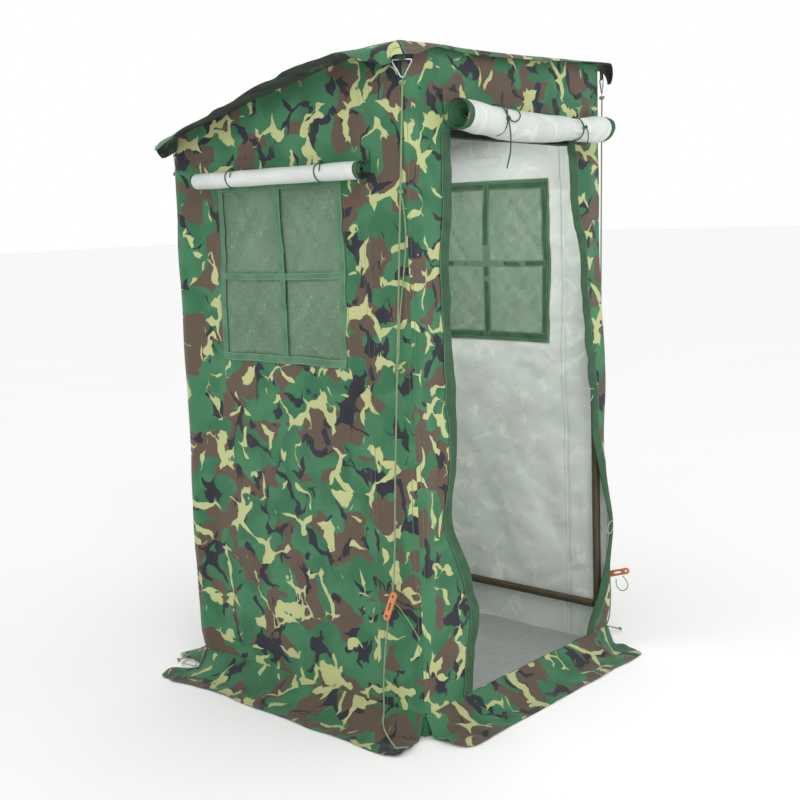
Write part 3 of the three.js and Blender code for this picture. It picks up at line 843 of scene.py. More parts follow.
def wall_top(wall, u):
    """Height of a wall's sewn top edge under the roof."""
    side = WALLS[wall][0][1]
    y = u * side if side else WALLS[wall][1][1] * HALF
    crown = eased(y, CROWN) if side else (0.0 if wall == "front" else 0.010)
    return roof_plane(y) - 0.004 + crown


def creases(u, v, angle, cell, stretch, seed):
    """Sharp folds that cloth keeps from being packed: 1 on a crease and falling off beside it."""
    return 1 - np.minimum(np.abs(folds(u, v, angle, cell, stretch, seed)) * 2.4, 1) ** 0.7


def wall_slack(wall, u, z):
    """How far a wall's cloth stands out from its flat plane."""
    seed = {"front": 1, "right": 11, "rear": 21, "left": 31}[wall]
    broad = 0.008 * ripple(u, z, 0.34, seed) + 0.0042 * folds(u, z, 78, 0.085, 4.5, seed + 1)
    small = 0.0028 * folds(u, z, 24, 0.06, 3.0, seed + 2) + 0.0022 * folds(u, z, -32, 0.05, 3.0, seed + 3)
    sharp = 0.0045 * creases(u, z, 62, 0.16, 3.0, seed + 4) + 0.0036 * creases(u, z, -20, 0.2, 2.2, seed + 5)
    out = broad + small + sharp - 0.002
    out = out + 0.0012 * ripple(u, z, 0.022, seed + 6)
    for side in (-1, 1):  # cloth is held at its top corners
        out = out + 0.014 * fan(u, z, (side * 0.47, wall_top(wall, side * 0.47)), 0.22, 0.2, seed + 7 + side)
    if wall in ("left", "right"):
        window_u, window_z = WINDOW_AT[wall]
        for side in (-1, 1):
            for top in (-1, 1):
                at = (window_u + side * WINDOW_HALF, window_z + top * WINDOW_HALF)
                out = out + 0.012 * fan(u, z, at, 0.3, 0.16, seed + 12 + side + 3 * top)
        inside = rise(-np.abs(u - window_u), -WINDOW_HALF - 0.03, -WINDOW_HALF + 0.06)
        inside = inside * rise(-np.abs(z - window_z), -WINDOW_HALF - 0.03, -WINDOW_HALF + 0.06)
        out = out * (1 - 0.55 * inside)
        out = out + 0.010 * bell(z, 0.62, 0.4) * bell(u, 0.05, 0.4)
    if wall == "front":
        left, right = eased(z, DOOR_LEFT), eased(z, DOOR_RIGHT)
        slack_left = rise(-u, -left - 0.16, -left) * (u < 0)
        slack_right = rise(u, right - 0.03, right + 0.02) * (u > 0)
        out = out + slack_left * (0.012 * bell(z, 0.32, 0.12) - 0.010 * bell(z, 0.66, 0.13))
        out = out + slack_left * 0.006 * ripple(u * 0.4, z, 0.09, seed + 20)
        out = out + slack_left * 0.010 * folds(u, z, 70, 0.055, 6.0, seed + 21) * rise(-z, -1.2, -0.3)
        out = out + slack_right * (0.026 * bell(z, 0.44, 0.2) + 0.008 * ripple(u * 0.4, z, 0.12, seed + 22))
        out = out + slack_right * 0.012 * bell(z, 0.9, 0.12)
        # The rolled flap lies against the wall over the doorway
        out = np.where(z > 1.72, np.minimum(out, 0.002 + 0.004 * rise(np.abs(u - 0.06), 0.40, 0.46)), out)
    if wall in ("left", "right"):
        window_u = WINDOW_AT[wall][0]
        behind_roll = rise(-np.abs(u - window_u), -0.43, -0.39) * bell(z, 1.675, 0.05)
        out = out * (1 - behind_roll)
    held = rise(np.abs(u), 0.465 if wall == "rear" else 0.40, CORNER_END)
    corners = np.where(
        np.asarray(u) < 0,
        corner_slack(*corner_of(wall, -1), z),
        corner_slack(*corner_of(wall, 1), z),
    )
    out = out * (1 - held) + corners * held
    top = wall_top(wall, u)
    out = out * rise(-z, -top - 0.001, -top + 0.10)
    out = out * rise(z, -0.02, 0.16)
    clear = 0.0025 + 0.010 * rise(-np.abs(u), -0.44, -0.38) * rise(z, 0.18, 0.26) * rise(-z, -1.74, -1.66)
    return np.maximum(out, -clear)


def corner_of(wall, side):
    """Which corner, as signs of x and y, lies at that end of a wall."""
    (dx, dy), (ox, oy) = WALLS[wall]
    return (dx * side + ox, dy * side + oy)


def by_wall(wall, along, out, z):
    """Places, from how far they lie along a wall, outward, and up."""
    (dx, dy), (ox, oy) = WALLS[wall]
    return np.stack([ox * out + dx * along, oy * out + dy * along, z], -1)


def on_wall(wall, u, z, lift=0.0):
    """Places on a wall's outer face, or that far outside it."""
    u, z, lift = np.broadcast_arrays(np.asarray(u, float), np.asarray(z, float), np.asarray(lift, float))
    seed = {"front": 61, "right": 62, "rear": 63, "left": 64}[wall]
    shift = 0.0035 * ripple(u, z, 0.3, seed) * rise(-np.abs(u), -0.47, -0.3)
    drop = 0.0035 * ripple(u, z, 0.3, seed + 9) * rise(z, 0.1, 0.3) * rise(-z, -1.72, -1.6)
    turn = np.clip(np.abs(u) - CORNER_FLAT, 0, None) / CORNER_ROUND
    side = np.sign(u)
    flat_u = side * (np.minimum(np.abs(u), CORNER_FLAT) + CORNER_ROUND * np.sin(turn)) + shift
    flat_n = -CORNER_ROUND * (1 - np.cos(turn))
    stand = wall_slack(wall, u, z) + lift
    n = HALF + flat_n + stand * np.cos(turn)
    flat_u = flat_u + side * stand * np.sin(turn)
    return by_wall(wall, flat_u, n, z + drop)


def stations(*stops, step=0.0115):
    """Places from the first stop to the last, evenly spaced between stops and on every stop."""
    made = []
    for a, b in zip(stops, stops[1:]):
        made += list(np.linspace(a, b, max(1, round(abs(b - a) / step)), endpoint=False))
    return np.array([*made, stops[-1]])


def cut_cloth(wall, u, z, edges):
    return on_cloth(u + CLOTH_SHIFT[wall], z, edges)


def side_wall(wall):
    """A wall with a square window hole, or none in the rear wall."""
    seam = SEAM_U if wall == "left" else -SEAM_U
    window_u, window_z = WINDOW_AT[wall]
    hole = (window_u - WINDOW_HALF, window_u + WINDOW_HALF)
    seams = sorted([seam - 0.010, seam - 0.008, seam + 0.008, seam + 0.010])
    low = [s for s in seams if s < hole[0]]
    high = [s for s in seams if s > hole[1]]
    columns = stations(-CORNER_END, -CORNER_FLAT, *low, *hole, *high, CORNER_FLAT, CORNER_END)
    rows = stations(0, window_z - WINDOW_HALF, window_z + WINDOW_HALF, 2.0)
    u, z = np.meshgrid(columns, rows)
    above = z > window_z + WINDOW_HALF
    share = (z - window_z - WINDOW_HALF) / (2.0 - window_z - WINDOW_HALF)
    top = wall_top(wall, u)
    z = np.where(above, window_z + WINDOW_HALF + share * (top - window_z - WINDOW_HALF), z)
    edges = np.minimum(np.minimum(top - z, CORNER_END - np.abs(u)), np.abs(np.abs(u - seam) - 0.001) + 0.001)
    off_window = np.maximum(np.abs(u - window_u), np.abs(z - window_z)) - WINDOW_HALF
    if wall != "rear":
        edges = np.minimum(edges, np.abs(off_window))
    lap = 0.0011 * (np.abs(u - seam) < 0.0085)
    grid = on_wall(wall, u, z, lap)
    middle_u = (columns[1:] + columns[:-1]) / 2
    middle_z = (rows[1:] + rows[:-1]) / 2
    across_hole = np.abs(middle_u - window_u)[None, :] < WINDOW_HALF
    up_hole = np.abs(middle_z - window_z)[:, None] < WINDOW_HALF
    keep = ~(across_hole & up_hole) if wall != "rear" else None
    coords = cut_cloth(wall, u, z, edges)
    made = shell(f"cloth_wall_{wall}", grid, coords, ["camo", "lining", "camo"], keep=keep)
    fit_in(made, f"wall_{wall}")


def front_wall():
    """The wall with the doorway: a strip at each side of it, one above, and a low sill."""
    rows = stations(0, DOOR_SILL, DOOR_TOP, ROOF_FRONT - 0.004)
    strip_left, strip_right = -0.42, CORNER_FLAT + 0.004  # where the even columns beside the corners end
    outer_left = stations(-CORNER_END, -CORNER_FLAT, strip_left)
    outer_right = stations(strip_right, CORNER_END, step=0.004)
    left, right = eased(rows, DOOR_LEFT)[:, None], eased(rows, DOOR_RIGHT)[:, None]
    beside_door, over_door = 15, 55  # columns in each of the door's side strips, and over the doorway
    strip = np.linspace(0, 1, beside_door + 1)[1:]
    u = np.concatenate([
        np.tile(outer_left, (len(rows), 1)),
        strip_left + (left - strip_left) * strip,
        left + (right - left) * np.linspace(0, 1, over_door + 1)[1:],
        right + (strip_right - right) * strip[:-1],
        np.tile(outer_right, (len(rows), 1)),
    ], 1)
    z = np.tile(rows[:, None], (1, u.shape[1]))
    first = len(outer_left) + beside_door - 1
    middle = (rows[1:] + rows[:-1]) / 2
    door_rows = (middle > DOOR_SILL) & (middle < DOOR_TOP)
    keep = np.ones((len(rows) - 1, u.shape[1] - 1), bool)
    keep[np.ix_(door_rows, np.arange(first, first + over_door))] = False
    to_door = np.maximum(np.maximum(left - u, u - right), 0) + np.where(z > DOOR_TOP, z - DOOR_TOP, 0)
    edges = np.minimum(np.minimum(ROOF_FRONT - 0.004 - z, CORNER_END - np.abs(u)), to_door + 0.02)
    made = shell("cloth_wall_front", on_wall("front", u, z), cut_cloth("front", u, z, edges),
                 ["camo", "lining", "camo"], keep=keep)
    fit_in(made, "wall_front")


for each in ("left", "right", "rear"):
    side_wall(each)
front_wall()


# ---- Doorway binding ----


def door_binding(side, line):
    """Green tape folded over the doorway's edge, a little wavy, from the sill to under the flap."""
    z = stations(DOOR_SILL - 0.004, DOOR_TOP + 0.012, step=0.010)
    edge = eased(z, line)
    away = -1 if side == "left" else 1
    width = 0.040 if side == "left" else 0.038
    width = np.minimum(width + 0.003 * ripple(z, 0, 0.12, 71), WALL_END - np.abs(edge) - 0.001)[:, None]
    face = np.array([1.0, 0.75, 0.5, 0.25, 0.08, 0.0])
    across = np.concatenate([width * face, width * face[::-1] * 0.9], 1)
    lift = np.array([0.0022] * 4 + [0.0021, 0.0012, -0.0024, -0.0033] + [-0.0034] * 4)
    u = edge[:, None] + away * (across - np.array([0] * 5 + [0.0022] * 2 + [0] * 5))
    zz = np.tile(z[:, None], (1, u.shape[1]))
    grid = on_wall("front", u, zz, np.tile(lift, (len(z), 1)))
    over = np.cumsum(np.abs(np.diff(across, axis=1, prepend=across[:, :1])), 1)
    coords = on_cloth(zz, over, np.minimum(np.abs(across - width), 0.02))
    made = shell(f"binding_{side}", grid, coords, ["binding"] * 3, thickness=0.0008, flip=side == "right")
    fit_in(made, f"door_binding_{side}")


door_binding("left", DOOR_LEFT)
door_binding("right", DOOR_RIGHT)


# ---- Windows ----


def wall_strip(name, wall, start, end, width, lift, material, bend=0.0, inside=False):
    """A tape on a wall from one (u, z) to another, standing that far off the cloth."""
    run = math.dist(start, end)
    n = max(4, round(run / 0.012))
    t = np.linspace(0, 1, n)[:, None]
    along = np.array([(end[0] - start[0]) / run, (end[1] - start[1]) / run])
    side = np.array([along[1], -along[0]])
    half = np.linspace(-0.5, 0.5, 7)[None, :] * width
    sway = bend * np.sin(math.pi * t) + 0.0012 * ripple(t * run, 0, 0.06, len(name))
    u = start[0] + (end[0] - start[0]) * t + side[0] * (half + sway)
    z = start[1] + (end[1] - start[1]) * t + side[1] * (half + sway)
    pucker = 0.0007 * ripple(t * run, half * 0.3, 0.012, 5)
    grid = on_wall(wall, u, z, lift + pucker)
    coords = on_cloth(t * run, half + 0.1, width / 2 - np.abs(half))
    made = shell(name, grid, coords, [material] * 3, thickness=0.0009, flip=not inside)
    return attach(made, "cabin")


def window(wall):
    window_u, window_z = WINDOW_AT[wall]
    low, high = window_u - WINDOW_HALF, window_u + WINDOW_HALF
    bottom, top = window_z - WINDOW_HALF, window_z + WINDOW_HALF
    under = 0.012  # how far the mesh lies under the cloth round the hole
    columns = stations(low - under, high + under, step=0.014)
    rows = stations(bottom - under, top + under, step=0.014)
    u, z = np.meshgrid(columns, rows)
    belly = -0.004 * np.cos((u - window_u) / WINDOW_HALF * 1.45) * np.cos((z - window_z) / WINDOW_HALF * 1.45)
    pull = 0.0015 * folds(u, z, 50, 0.05, 4.0, 81)
    grid = on_wall(wall, u, z, -0.0022 + np.minimum(belly + pull, 0))
    mesh = shell(f"mesh_{wall}", grid, cut_cloth(wall, u, z, 0.1), ["mesh"] * 3, thickness=0.0005)
    fit_in(mesh, f"window_mesh_{wall}")

    tape, first = 0.026, None
    for face, lift, material in (("out", 0.0014, "window_tape"), ("in", -0.0042, "binding")):
        inside = face == "in"
        middle = window_u + (0.010 if wall == "left" else -0.010)
        edge = tape * 0.5 - 0.004
        runs = {
            "side_low": ((low + edge, bottom + 0.004), (low + edge, top), tape * 0.9),
            "side_high": ((high - edge, bottom + 0.004), (high - edge, top), tape * 0.9),
            "foot": ((low, bottom + edge), (high, bottom + edge), tape),
            "head": ((low, top - edge), (high, top - edge), tape),
            "upright": ((middle, bottom + 0.006), (middle - 0.006, top - 0.004), tape),
            "cross": ((low + 0.006, window_z - 0.008), (high - 0.006, window_z - 0.004), tape * 0.85),
        }
        for part, (start, end, width) in runs.items():
            raised = 0.0009 if part in ("upright", "head", "foot") else 0.0
            step = raised * (-1 if inside else 1)
            made = wall_strip(
                f"window_{wall}_{face}_{part}", wall, start, end, width, lift + step, material,
                bend=0.004 if part in ("upright", "cross") else 0.0, inside=inside,
            )
            first = first or made
    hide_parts(f"window_tape_{wall}")


window("left")
window("right")


# ---- Roof ----

EAVE = 0.10
EAVE_FRONT = 0.035
EAVE_HEM = 0.009
EAVE_TURN = {  # how far the hanging edge has turned down, in radians, along each eave
    "left": [(-0.54, 1.75), (-0.5, 1.7), (-0.44, 1.25), (-0.38, 0.4), (-0.30, 0.08), (0.0, 0.05), (0.12, 0.3),
             (0.28, 0.34), (0.36, 0.42), (0.48, 0.95), (0.6, 1.35)],
    "right": [(-0.54, 2.0), (-0.51, 1.8), (-0.48, 1.0), (-0.445, 0.4), (-0.4, 0.2), (0.1, 0.3), (0.3, 0.5),
              (0.48, 1.1), (0.6, 1.35)],
    "front": [(-0.6, 1.2), (-0.42, 1.0), (-0.3, 1.35), (0.0, 1.5), (0.12, 1.2), (0.25, 0.8), (0.6, 0.6)],
    "rear": [(-0.6, 1.4), (-0.45, 0.8), (-0.25, 0.4), (0.1, 0.3), (0.3, 0.5), (0.45, 0.9), (0.6, 1.4)],
}


def hang(beyond, length, turn):
    """Outward reach and drop of cloth that curls down beyond an edge."""
    turn = np.maximum(turn, 0.01)
    bent = turn * np.clip(beyond, 0, None) / length
    return length / turn * np.sin(bent), length / turn * (1 - np.cos(bent))


def roof():
    lines = (-HALF - EAVE_HEM, -HALF, HALF)
    columns = stations(-HALF - EAVE, *lines, HALF + EAVE_HEM, HALF + EAVE, step=0.0105)
    rows = stations(-HALF - EAVE_FRONT, *lines, HALF + EAVE - EAVE_HEM, HALF + EAVE, step=0.0105)
    a, b = np.meshgrid(columns, rows)
    side = np.where(a < 0, 1.0, 0.0)
    turn = side * eased(b, EAVE_TURN["left"]) + (1 - side) * eased(b, EAVE_TURN["right"])
    turn = turn + 0.08 * ripple(a, b, 0.07, 90) * rise(np.abs(b), 0.0, 0.3)
    out_x, out_rear = np.clip(np.abs(a) - HALF, 0, EAVE), np.clip(b - HALF, 0, EAVE)
    trim = 1 - 0.56 * out_x * out_rear / EAVE**2  # the rear corners are cut round
    reach_x, drop_x = hang(out_x * trim, EAVE, turn)
    turn_front = eased(a, EAVE_TURN["front"]) + 0.2 * ripple(a, 0, 0.08, 91)
    turn_rear = eased(a, EAVE_TURN["rear"]) + 0.2 * ripple(a, 0, 0.1, 92)
    reach_f, drop_f = hang(-b - HALF, EAVE_FRONT, turn_front)
    reach_r, drop_r = hang(out_rear * trim, EAVE, turn_rear)
    beyond = np.maximum(np.abs(a) - HALF, 0)
    x = np.sign(a) * (np.minimum(np.abs(a), HALF) + reach_x)
    y = np.clip(b, -HALF, HALF) - reach_f + reach_r
    # Crown along the eaves, sag between the rails, and packing creases
    crown = eased(b, CROWN)
    inner = np.clip(1 - (a / 0.46) ** 2, 0, 1) * np.clip(1 - (b / 0.46) ** 2, 0, 1)
    front_sag = -0.006 * bell(a, -0.02, 0.3) * rise(-b, 0.40, 0.5)
    slack = 0.0035 * ripple(a, b, 0.2, 93) + 0.0045 * folds(a, b, 90, 0.12, 3.0, 94)
    slack = slack + 0.004 * creases(a, b, 35, 0.2, 3.0, 95) + 0.0035 * creases(a, b, -50, 0.22, 3.0, 96)
    slack = slack * (0.3 + 0.7 * rise(inner, 0.0, 0.25)) * rise(0.6 - np.abs(a), 0, 0.1)
    flap = 0.006 * ripple(a, b, 0.045, 97) * np.clip((beyond + np.maximum(b - HALF, 0)) / EAVE, 0, 1)
    z = roof_plane(np.clip(b, -0.54, 0.56))
    drop_f = drop_f * (1 + 1.7 * rise(-a, 0.36, 0.48))
    drop = (drop_x**4 + drop_f**4 + drop_r**4) ** 0.25
    z = z + crown - 0.020 * inner + front_sag + np.maximum(slack, -0.003) + flap - drop
    # The front corners are tucked round
    for sx in (-1, 1):
        round_front = np.clip(sx * a - HALF, 0, EAVE) / EAVE * np.clip(-b - 0.46, 0, 0.075) / 0.075
        y = y + 0.018 * round_front
    z = np.minimum(z, 2.024)
    edges = np.minimum(np.minimum(a + 0.6, 0.6 - a), np.minimum(b + 0.535, 0.6 - b))
    coords = on_cloth(a + PRINT_AT["roof"], b, edges)
    grid = np.stack([x, y, z], -1)
    # The roof's underside is painted near-black, as the shade under the eaves.
    made = shell("cloth_roof", grid, coords, ["camo", "camo_underside_painted_shade", "binding"], thickness=0.0014)
    fit_in(made, "roof_cover")


roof()


# ---- Ground skirts and groundsheet ----

SKIRT = 0.16
SKIRT_BASE_END = 0.4955  # the last u at which a skirt follows its wall's foot


def skirt(wall, start, end, rounds, seed):
    """A flap sewn to the wall's foot that curves out onto the ground, wavy along its outer edge.
    start and end are where its outer corners lie, and rounds are the radii of those corners."""
    s = stations(0, 1, step=0.0095)
    t = np.array([0, 0.05, 0.12, 0.2, 0.28, 0.36, 0.44, 0.52, 0.6, 0.68, 0.76, 0.84, 0.91, 0.96, 1.0])
    s, t = np.meshgrid(s, t[::-1])
    u = WALL_END * (2 * s - 1)
    outer = start + (end - start) * s
    along = u + (outer - u) * rise(t, 0.0, 0.9)
    # Round the outer corners
    near_end = np.minimum(s, 1 - s) * (end - start)
    length = SKIRT + 0.012 + 0.007 * ripple(s, 0, 0.13, seed)
    for from_end, radius in ((s * (end - start), rounds[0]), ((1 - s) * (end - start), rounds[1])):
        inside = 1 - np.clip(from_end / radius, 0, 1)
        length = length - radius * (1 - np.sqrt(np.clip(1 - inside**2, 0, 1))) * (0.3 + 0.7 * t)
    flat = t * length
    # Off the wall in a soft curve, then along the ground
    at_end = rise(-near_end, -0.12, 0.0)
    foot_at = (0.115 + 0.014 * ripple(s, 0, 0.21, seed + 1)) * (1 - at_end) + 0.040 * at_end
    down = SKIRT_TOP * (1 - rise(flat, -0.018 * (1 - at_end), foot_at))
    out = flat * (0.93 + 0.03 * ripple(s, 0, 0.17, seed + 2))
    wave = 0.011 * np.abs(ripple(s * 1.1, t * 0.18, 0.075, seed + 3))
    wave = wave + 0.008 * np.abs(ripple(s, t * 0.4, 0.15, seed + 4))
    wave = wave + 0.006 * bell(np.minimum(s, 1 - s), 0, 0.03)
    z = down + wave * rise(t, 0.05, 0.6) * rise(1.35 - t, 0.0, 0.6) + 0.0012
    ruck = 0.008 * folds(along, t * SKIRT, 80, 0.035, 5.0, seed + 5) * np.sin(t * math.pi)
    z = np.maximum(z + np.abs(ruck) * 0.6 * rise(near_end, 0.0, 0.12), 0.0012)
    on_foot = np.clip(along, -SKIRT_BASE_END, SKIRT_BASE_END)
    base = on_wall(wall, on_foot, SKIRT_TOP, 0.0012)
    place = base + by_wall(wall, along - on_foot, out, z - SKIRT_TOP)
    place[..., 2] = np.where(t == 0, SKIRT_TOP, z)
    edges = np.minimum((1 - t) * SKIRT, near_end)
    coords = on_cloth(along + CLOTH_SHIFT[wall] + PRINT_AT["skirt"], -flat, edges)
    # The skirt's outer face and rim are the print darkened as painted shade; its underside is painted
    # near-black the same way.
    made = shell(f"cloth_skirt_{wall}", place, coords, ["camo_painted_shade", "camo_underside_painted_shade", "camo_painted_shade"])
    fit_in(made, f"skirt_{wall}")


skirt("left", -0.548, 0.526, (0.012, 0.016), 101)
skirt("right", -0.400, 0.548, (0.05, 0.012), 111)
skirt("front", -0.498, 0.478, (0.055, 0.012), 121)
skirt("rear", -0.500, 0.500, (0.03, 0.03), 131)


def groundsheet():
    half = 0.492
    a, b = np.meshgrid(*[stations(-half, half, step=0.014)] * 2)
    creased = 0.004 * np.abs(folds(a, b, 20, 0.10, 4.0, 141))
    creased = creased + 0.003 * np.abs(folds(a, b, -55, 0.14, 4.0, 142))
    # Flat where the feet stand
    off_foot = rise(np.hypot(np.abs(a) - 0.478, np.abs(b) - 0.478), 0.025, 0.09)
    z = 0.0022 + creased * off_foot
    coords = on_cloth(a, b, half - np.maximum(np.abs(a), np.abs(b)))
    made = shell("cloth_groundsheet", np.stack([a, b, z], -1), coords, ["floor"] * 3)
    fit_in(made, "groundsheet")


groundsheet()


# ---- Rolled flaps ----


STEPS_PER_TURN = 20


def rolled(name, wall, node, spec):
    """A sheet sewn to the wall along its top and rolled up, lining outwards, in one piece with the strip
    that hangs above the roll."""
    start, length, turns = spec["start"], spec["length"], spec["turns"]
    hem = spec["hem"] / length
    inside_hems = np.linspace(hem, 1 - hem, spec["stations"])
    share = np.concatenate([[0, hem / 2], inside_hems, [1 - hem / 2, 1]])
    steps = int(turns * STEPS_PER_TURN)
    # The angle runs backwards from where the cloth leaves the roll's back (0) into the roll
    angle = np.linspace(turns * 2 * math.pi, 0, steps + 1)[:, None]
    u_flat = start + length * share[None, :]
    outer = eased(share, spec["radius"])[None, :]
    core = eased(share, spec["core"])[None, :]
    height = eased(share, spec["height"])[None, :]
    fill = angle / (turns * 2 * math.pi)
    dent = 1 + 0.035 * ripple(np.cos(angle) * 0.8 + u_flat * 9, np.sin(angle) * 0.8, 0.8, spec["seed"])
    dent = dent + spec["pinch"](u_flat, angle)
    radius = (outer - (outer - core) * fill) * dent
    # Down the back, forward under, up the front and back over the top
    n_roll = spec["out"] - radius * np.cos(angle)
    z_roll = height - radius * np.sin(angle)
    ragged = spec["ragged"](share[None, :], angle, fill)
    u_roll = u_flat + ragged
    strip_z = np.array(spec["strip"])[:, None]
    joint_n, joint_z = n_roll[-1:], z_roll[-1:]
    top = strip_z[-1, 0]
    portion = (strip_z - spec["tangent"]) / (top - spec["tangent"])
    near = rise(portion, 0.0, 1.0)
    z_strip = np.where(strip_z < spec["tangent"] + 1e-6, joint_z, strip_z)
    n_strip = joint_n + (spec["wall_gap"] - joint_n) * near
    n_all = np.concatenate([n_roll, np.broadcast_to(n_strip, (len(strip_z), len(share)))[1:]])
    z_all = np.concatenate([z_roll, np.broadcast_to(z_strip, (len(strip_z), len(share)))[1:]])
    u_all = np.concatenate([u_roll, np.broadcast_to(u_flat, (len(strip_z), len(share)))[1:]])
    grid = by_wall(wall, u_all, HALF + n_all, z_all)
    path = np.zeros(n_all.shape)
    path[1:] = np.cumsum(np.hypot(np.diff(n_all, axis=0), np.diff(z_all, axis=0)), 0)
    at_hem = np.minimum(share, 1 - share) * length
    coords = on_cloth(u_flat + PRINT_AT["rolled"], path, at_hem)
    kinds = np.zeros((grid.shape[0] - 1, grid.shape[1] - 1), int)
    kinds[:, :2] = kinds[:, -2:] = 4
    kinds[steps:, :] = 0
    printed = f"camo_{wall}"
    made = shell(name, grid, coords, [printed, "lining", printed, "binding"], face_kinds=kinds)
    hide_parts(node)
    return made


DOOR_TIES = (-0.157, 0.268)  # where along the doorway the ties pull the roll in
DOOR_ROLL_OUT = 0.5535  # how far the middle of the rolled door flap lies from the cabin's middle


def door_flap():
    def pinch(u, angle):
        lengthwise = ripple(np.cos(angle) * 1.6, np.sin(angle) * 1.6 + u * 2.5, 0.55, 151)
        near_ties = 0.10 * bell(u, DOOR_TIES[0], 0.07) + 0.17 * bell(u, DOOR_TIES[1], 0.10)
        lumps = ripple(np.cos(angle) * 1.2 + u * 14, np.sin(angle) * 1.2, 0.75, 152)
        return lengthwise * (near_ties + 0.03) + 0.05 * lumps

    def ragged(share, angle, fill):
        left = (0.034 * fill + 0.006 * ripple(angle, 0, 2.2, 153)) * rise(-share, -0.12, 0.0)
        right = -(0.030 * fill + 0.008 * ripple(angle, 0, 2.6, 154)) * rise(share, 0.88, 1.0)
        point = 0.020 * bell(np.mod(angle, 2 * math.pi), 3.6, 0.9) * bell(fill, 0.05, 0.1)
        return left + right + point * rise(share, 0.86, 1.0)

    spec = {
        "start": -0.332, "length": 0.765, "stations": 60, "hem": 0.024, "turns": 10.25, "seed": 155,
        "radius": [(0, 0.0455), (0.1, 0.045), (0.2, 0.041), (0.3, 0.0455), (0.5, 0.044), (0.66, 0.040),
                   (0.76, 0.0325), (0.86, 0.0395), (0.94, 0.042), (1, 0.039)],
        "core": [(0, 0.019), (0.08, 0.013), (0.2, 0.007), (0.5, 0.005), (0.85, 0.006), (1, 0.014)],
        "height": [(0, 1.824), (0.12, 1.813), (0.35, 1.796), (0.5, 1.792), (0.75, 1.792), (1, 1.797)],
        "out": DOOR_ROLL_OUT - HALF, "wall_gap": 0.0026, "tangent": 1.828,
        "strip": [1.828, *np.linspace(1.852, 1.878, 30), 1.884, 1.892],
        "pinch": pinch, "ragged": ragged,
    }
    made = rolled("rolled_door_flap", "front", "door_roll", spec)
    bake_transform(made)


WINDOW_ROLL_OUT = 0.033  # how far the middle of a rolled window cover stands off the wall
WINDOW_ROLL_AT = 1.6745  # its height
WINDOW_TIES = {"rear": 0.195, "front": -0.198}  # the Y of its ties


def window_cover(wall):
    sign = 1 if wall == "left" else -1
    start = -0.376 if wall == "left" else -0.366

    def pinch(u, angle):
        lengthwise = ripple(np.cos(angle) * 1.3, np.sin(angle) * 1.3 + u * 4, 0.6, 161)
        near_ties = sum(bell(u, -sign * y, 0.05) for y in WINDOW_TIES.values())
        return 0.02 * lengthwise - 0.05 * near_ties + 0.02 * ripple(u, 0, 0.05, 164)

    def ragged(share, angle, fill):
        return 0.004 * ripple(angle, 0, 2.0, 162) * rise(np.abs(share - 0.5), 0.3, 0.5)

    spec = {
        "start": start, "length": 0.742, "stations": 56, "hem": 0.014, "turns": 5.25, "seed": 163,
        "radius": [(0, 0.0255), (0.2, 0.0265), (0.5, 0.0262), (0.8, 0.0265), (1, 0.026)],
        "core": [(0, 0.008), (0.5, 0.006), (1, 0.008)],
        "height": [(0, 1.673), (0.5, WINDOW_ROLL_AT), (1, 1.676)],
        "out": WINDOW_ROLL_OUT, "wall_gap": 0.0024, "tangent": 1.680,
        "strip": [1.680, *np.linspace(1.698, 1.716, 26), 1.724, 1.732],
        "pinch": pinch, "ragged": ragged,
    }
    made = rolled(f"rolled_window_cover_{wall}", wall, f"window_roll_{wall}", spec)
    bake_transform(made)


door_flap()
window_cover("left")
window_cover("right")


# ---- Ties, bows and loops ----


def beside(at, *offsets):
    """A route that starts at a place; each offset gives one more point, measured from that start."""
    return [at, *(at + np.array(offset) for offset in offsets)]


def loose_cord(name, points, diameter, material, body):
    """A short free cord on another piece: its ends and its length are those of the given route."""
    path = through(points, 0.0022)
    made = tube(name, path, diameter / 2, material, sides=8)
    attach(made, body)


def door_tie(name, u, radius, height, slant):
    """The band round the rolled door flap."""
    turn = full_turn(60)
    grow = radius * (1 + 0.02 * np.sin(3 * turn + u * 9)) + 0.0015
    x, y, z = u + slant * np.cos(turn), -DOOR_ROLL_OUT - grow * np.cos(turn), height + grow * np.sin(turn)
    made = tube(f"tie_{name}", np.stack([x, y, z], 1), 0.0021, "cord_dark", closed=True, sides=8)
    fit_in(made, f"door_roll_tie_{name}", "door_flap")


def door_ties():
    material, body = "cord_dark", "door_flap"
    door_tie("left", DOOR_TIES[0], 0.0435, 1.8085, 0.006)
    door_tie("right", DOOR_TIES[1], 0.0345, 1.793, -0.005)
    at = np.array([-0.150, -0.6005, 1.812])
    bow = knot("tie_knot_left", at, 0.012, material, body, (0, 1, 0.2))
    tail = beside(at, (-0.002, -0.004, -0.02), (0.004, -0.003, -0.055), (0.002, -0.001, -0.100),
                  (-0.012, 0.002, -0.145))
    loose_cord("tie_tail_left", tail, 0.0042, material, body)
    arch = beside(at, (0.022, -0.001, -0.010), (0.046, 0.0, -0.006), (0.066, 0.006, 0.012),
                  (0.062, 0.016, 0.029), (0.040, 0.022, 0.037), (0.018, 0.018, 0.032), (0.004, 0.006, 0.012))
    loose_cord("tie_bow_left", arch, 0.0036, material, body)
    at = np.array([0.272, -0.592, 1.797])
    bow = knot("tie_knot_right", at, 0.010, material, body, (0, 1, 0.2))
    tail = beside(at, (0.006, -0.003, -0.014), (0.010, -0.001, -0.034), (0.006, 0.001, -0.052))
    loose_cord("tie_tail_right", tail, 0.0036, material, body)


door_ties()


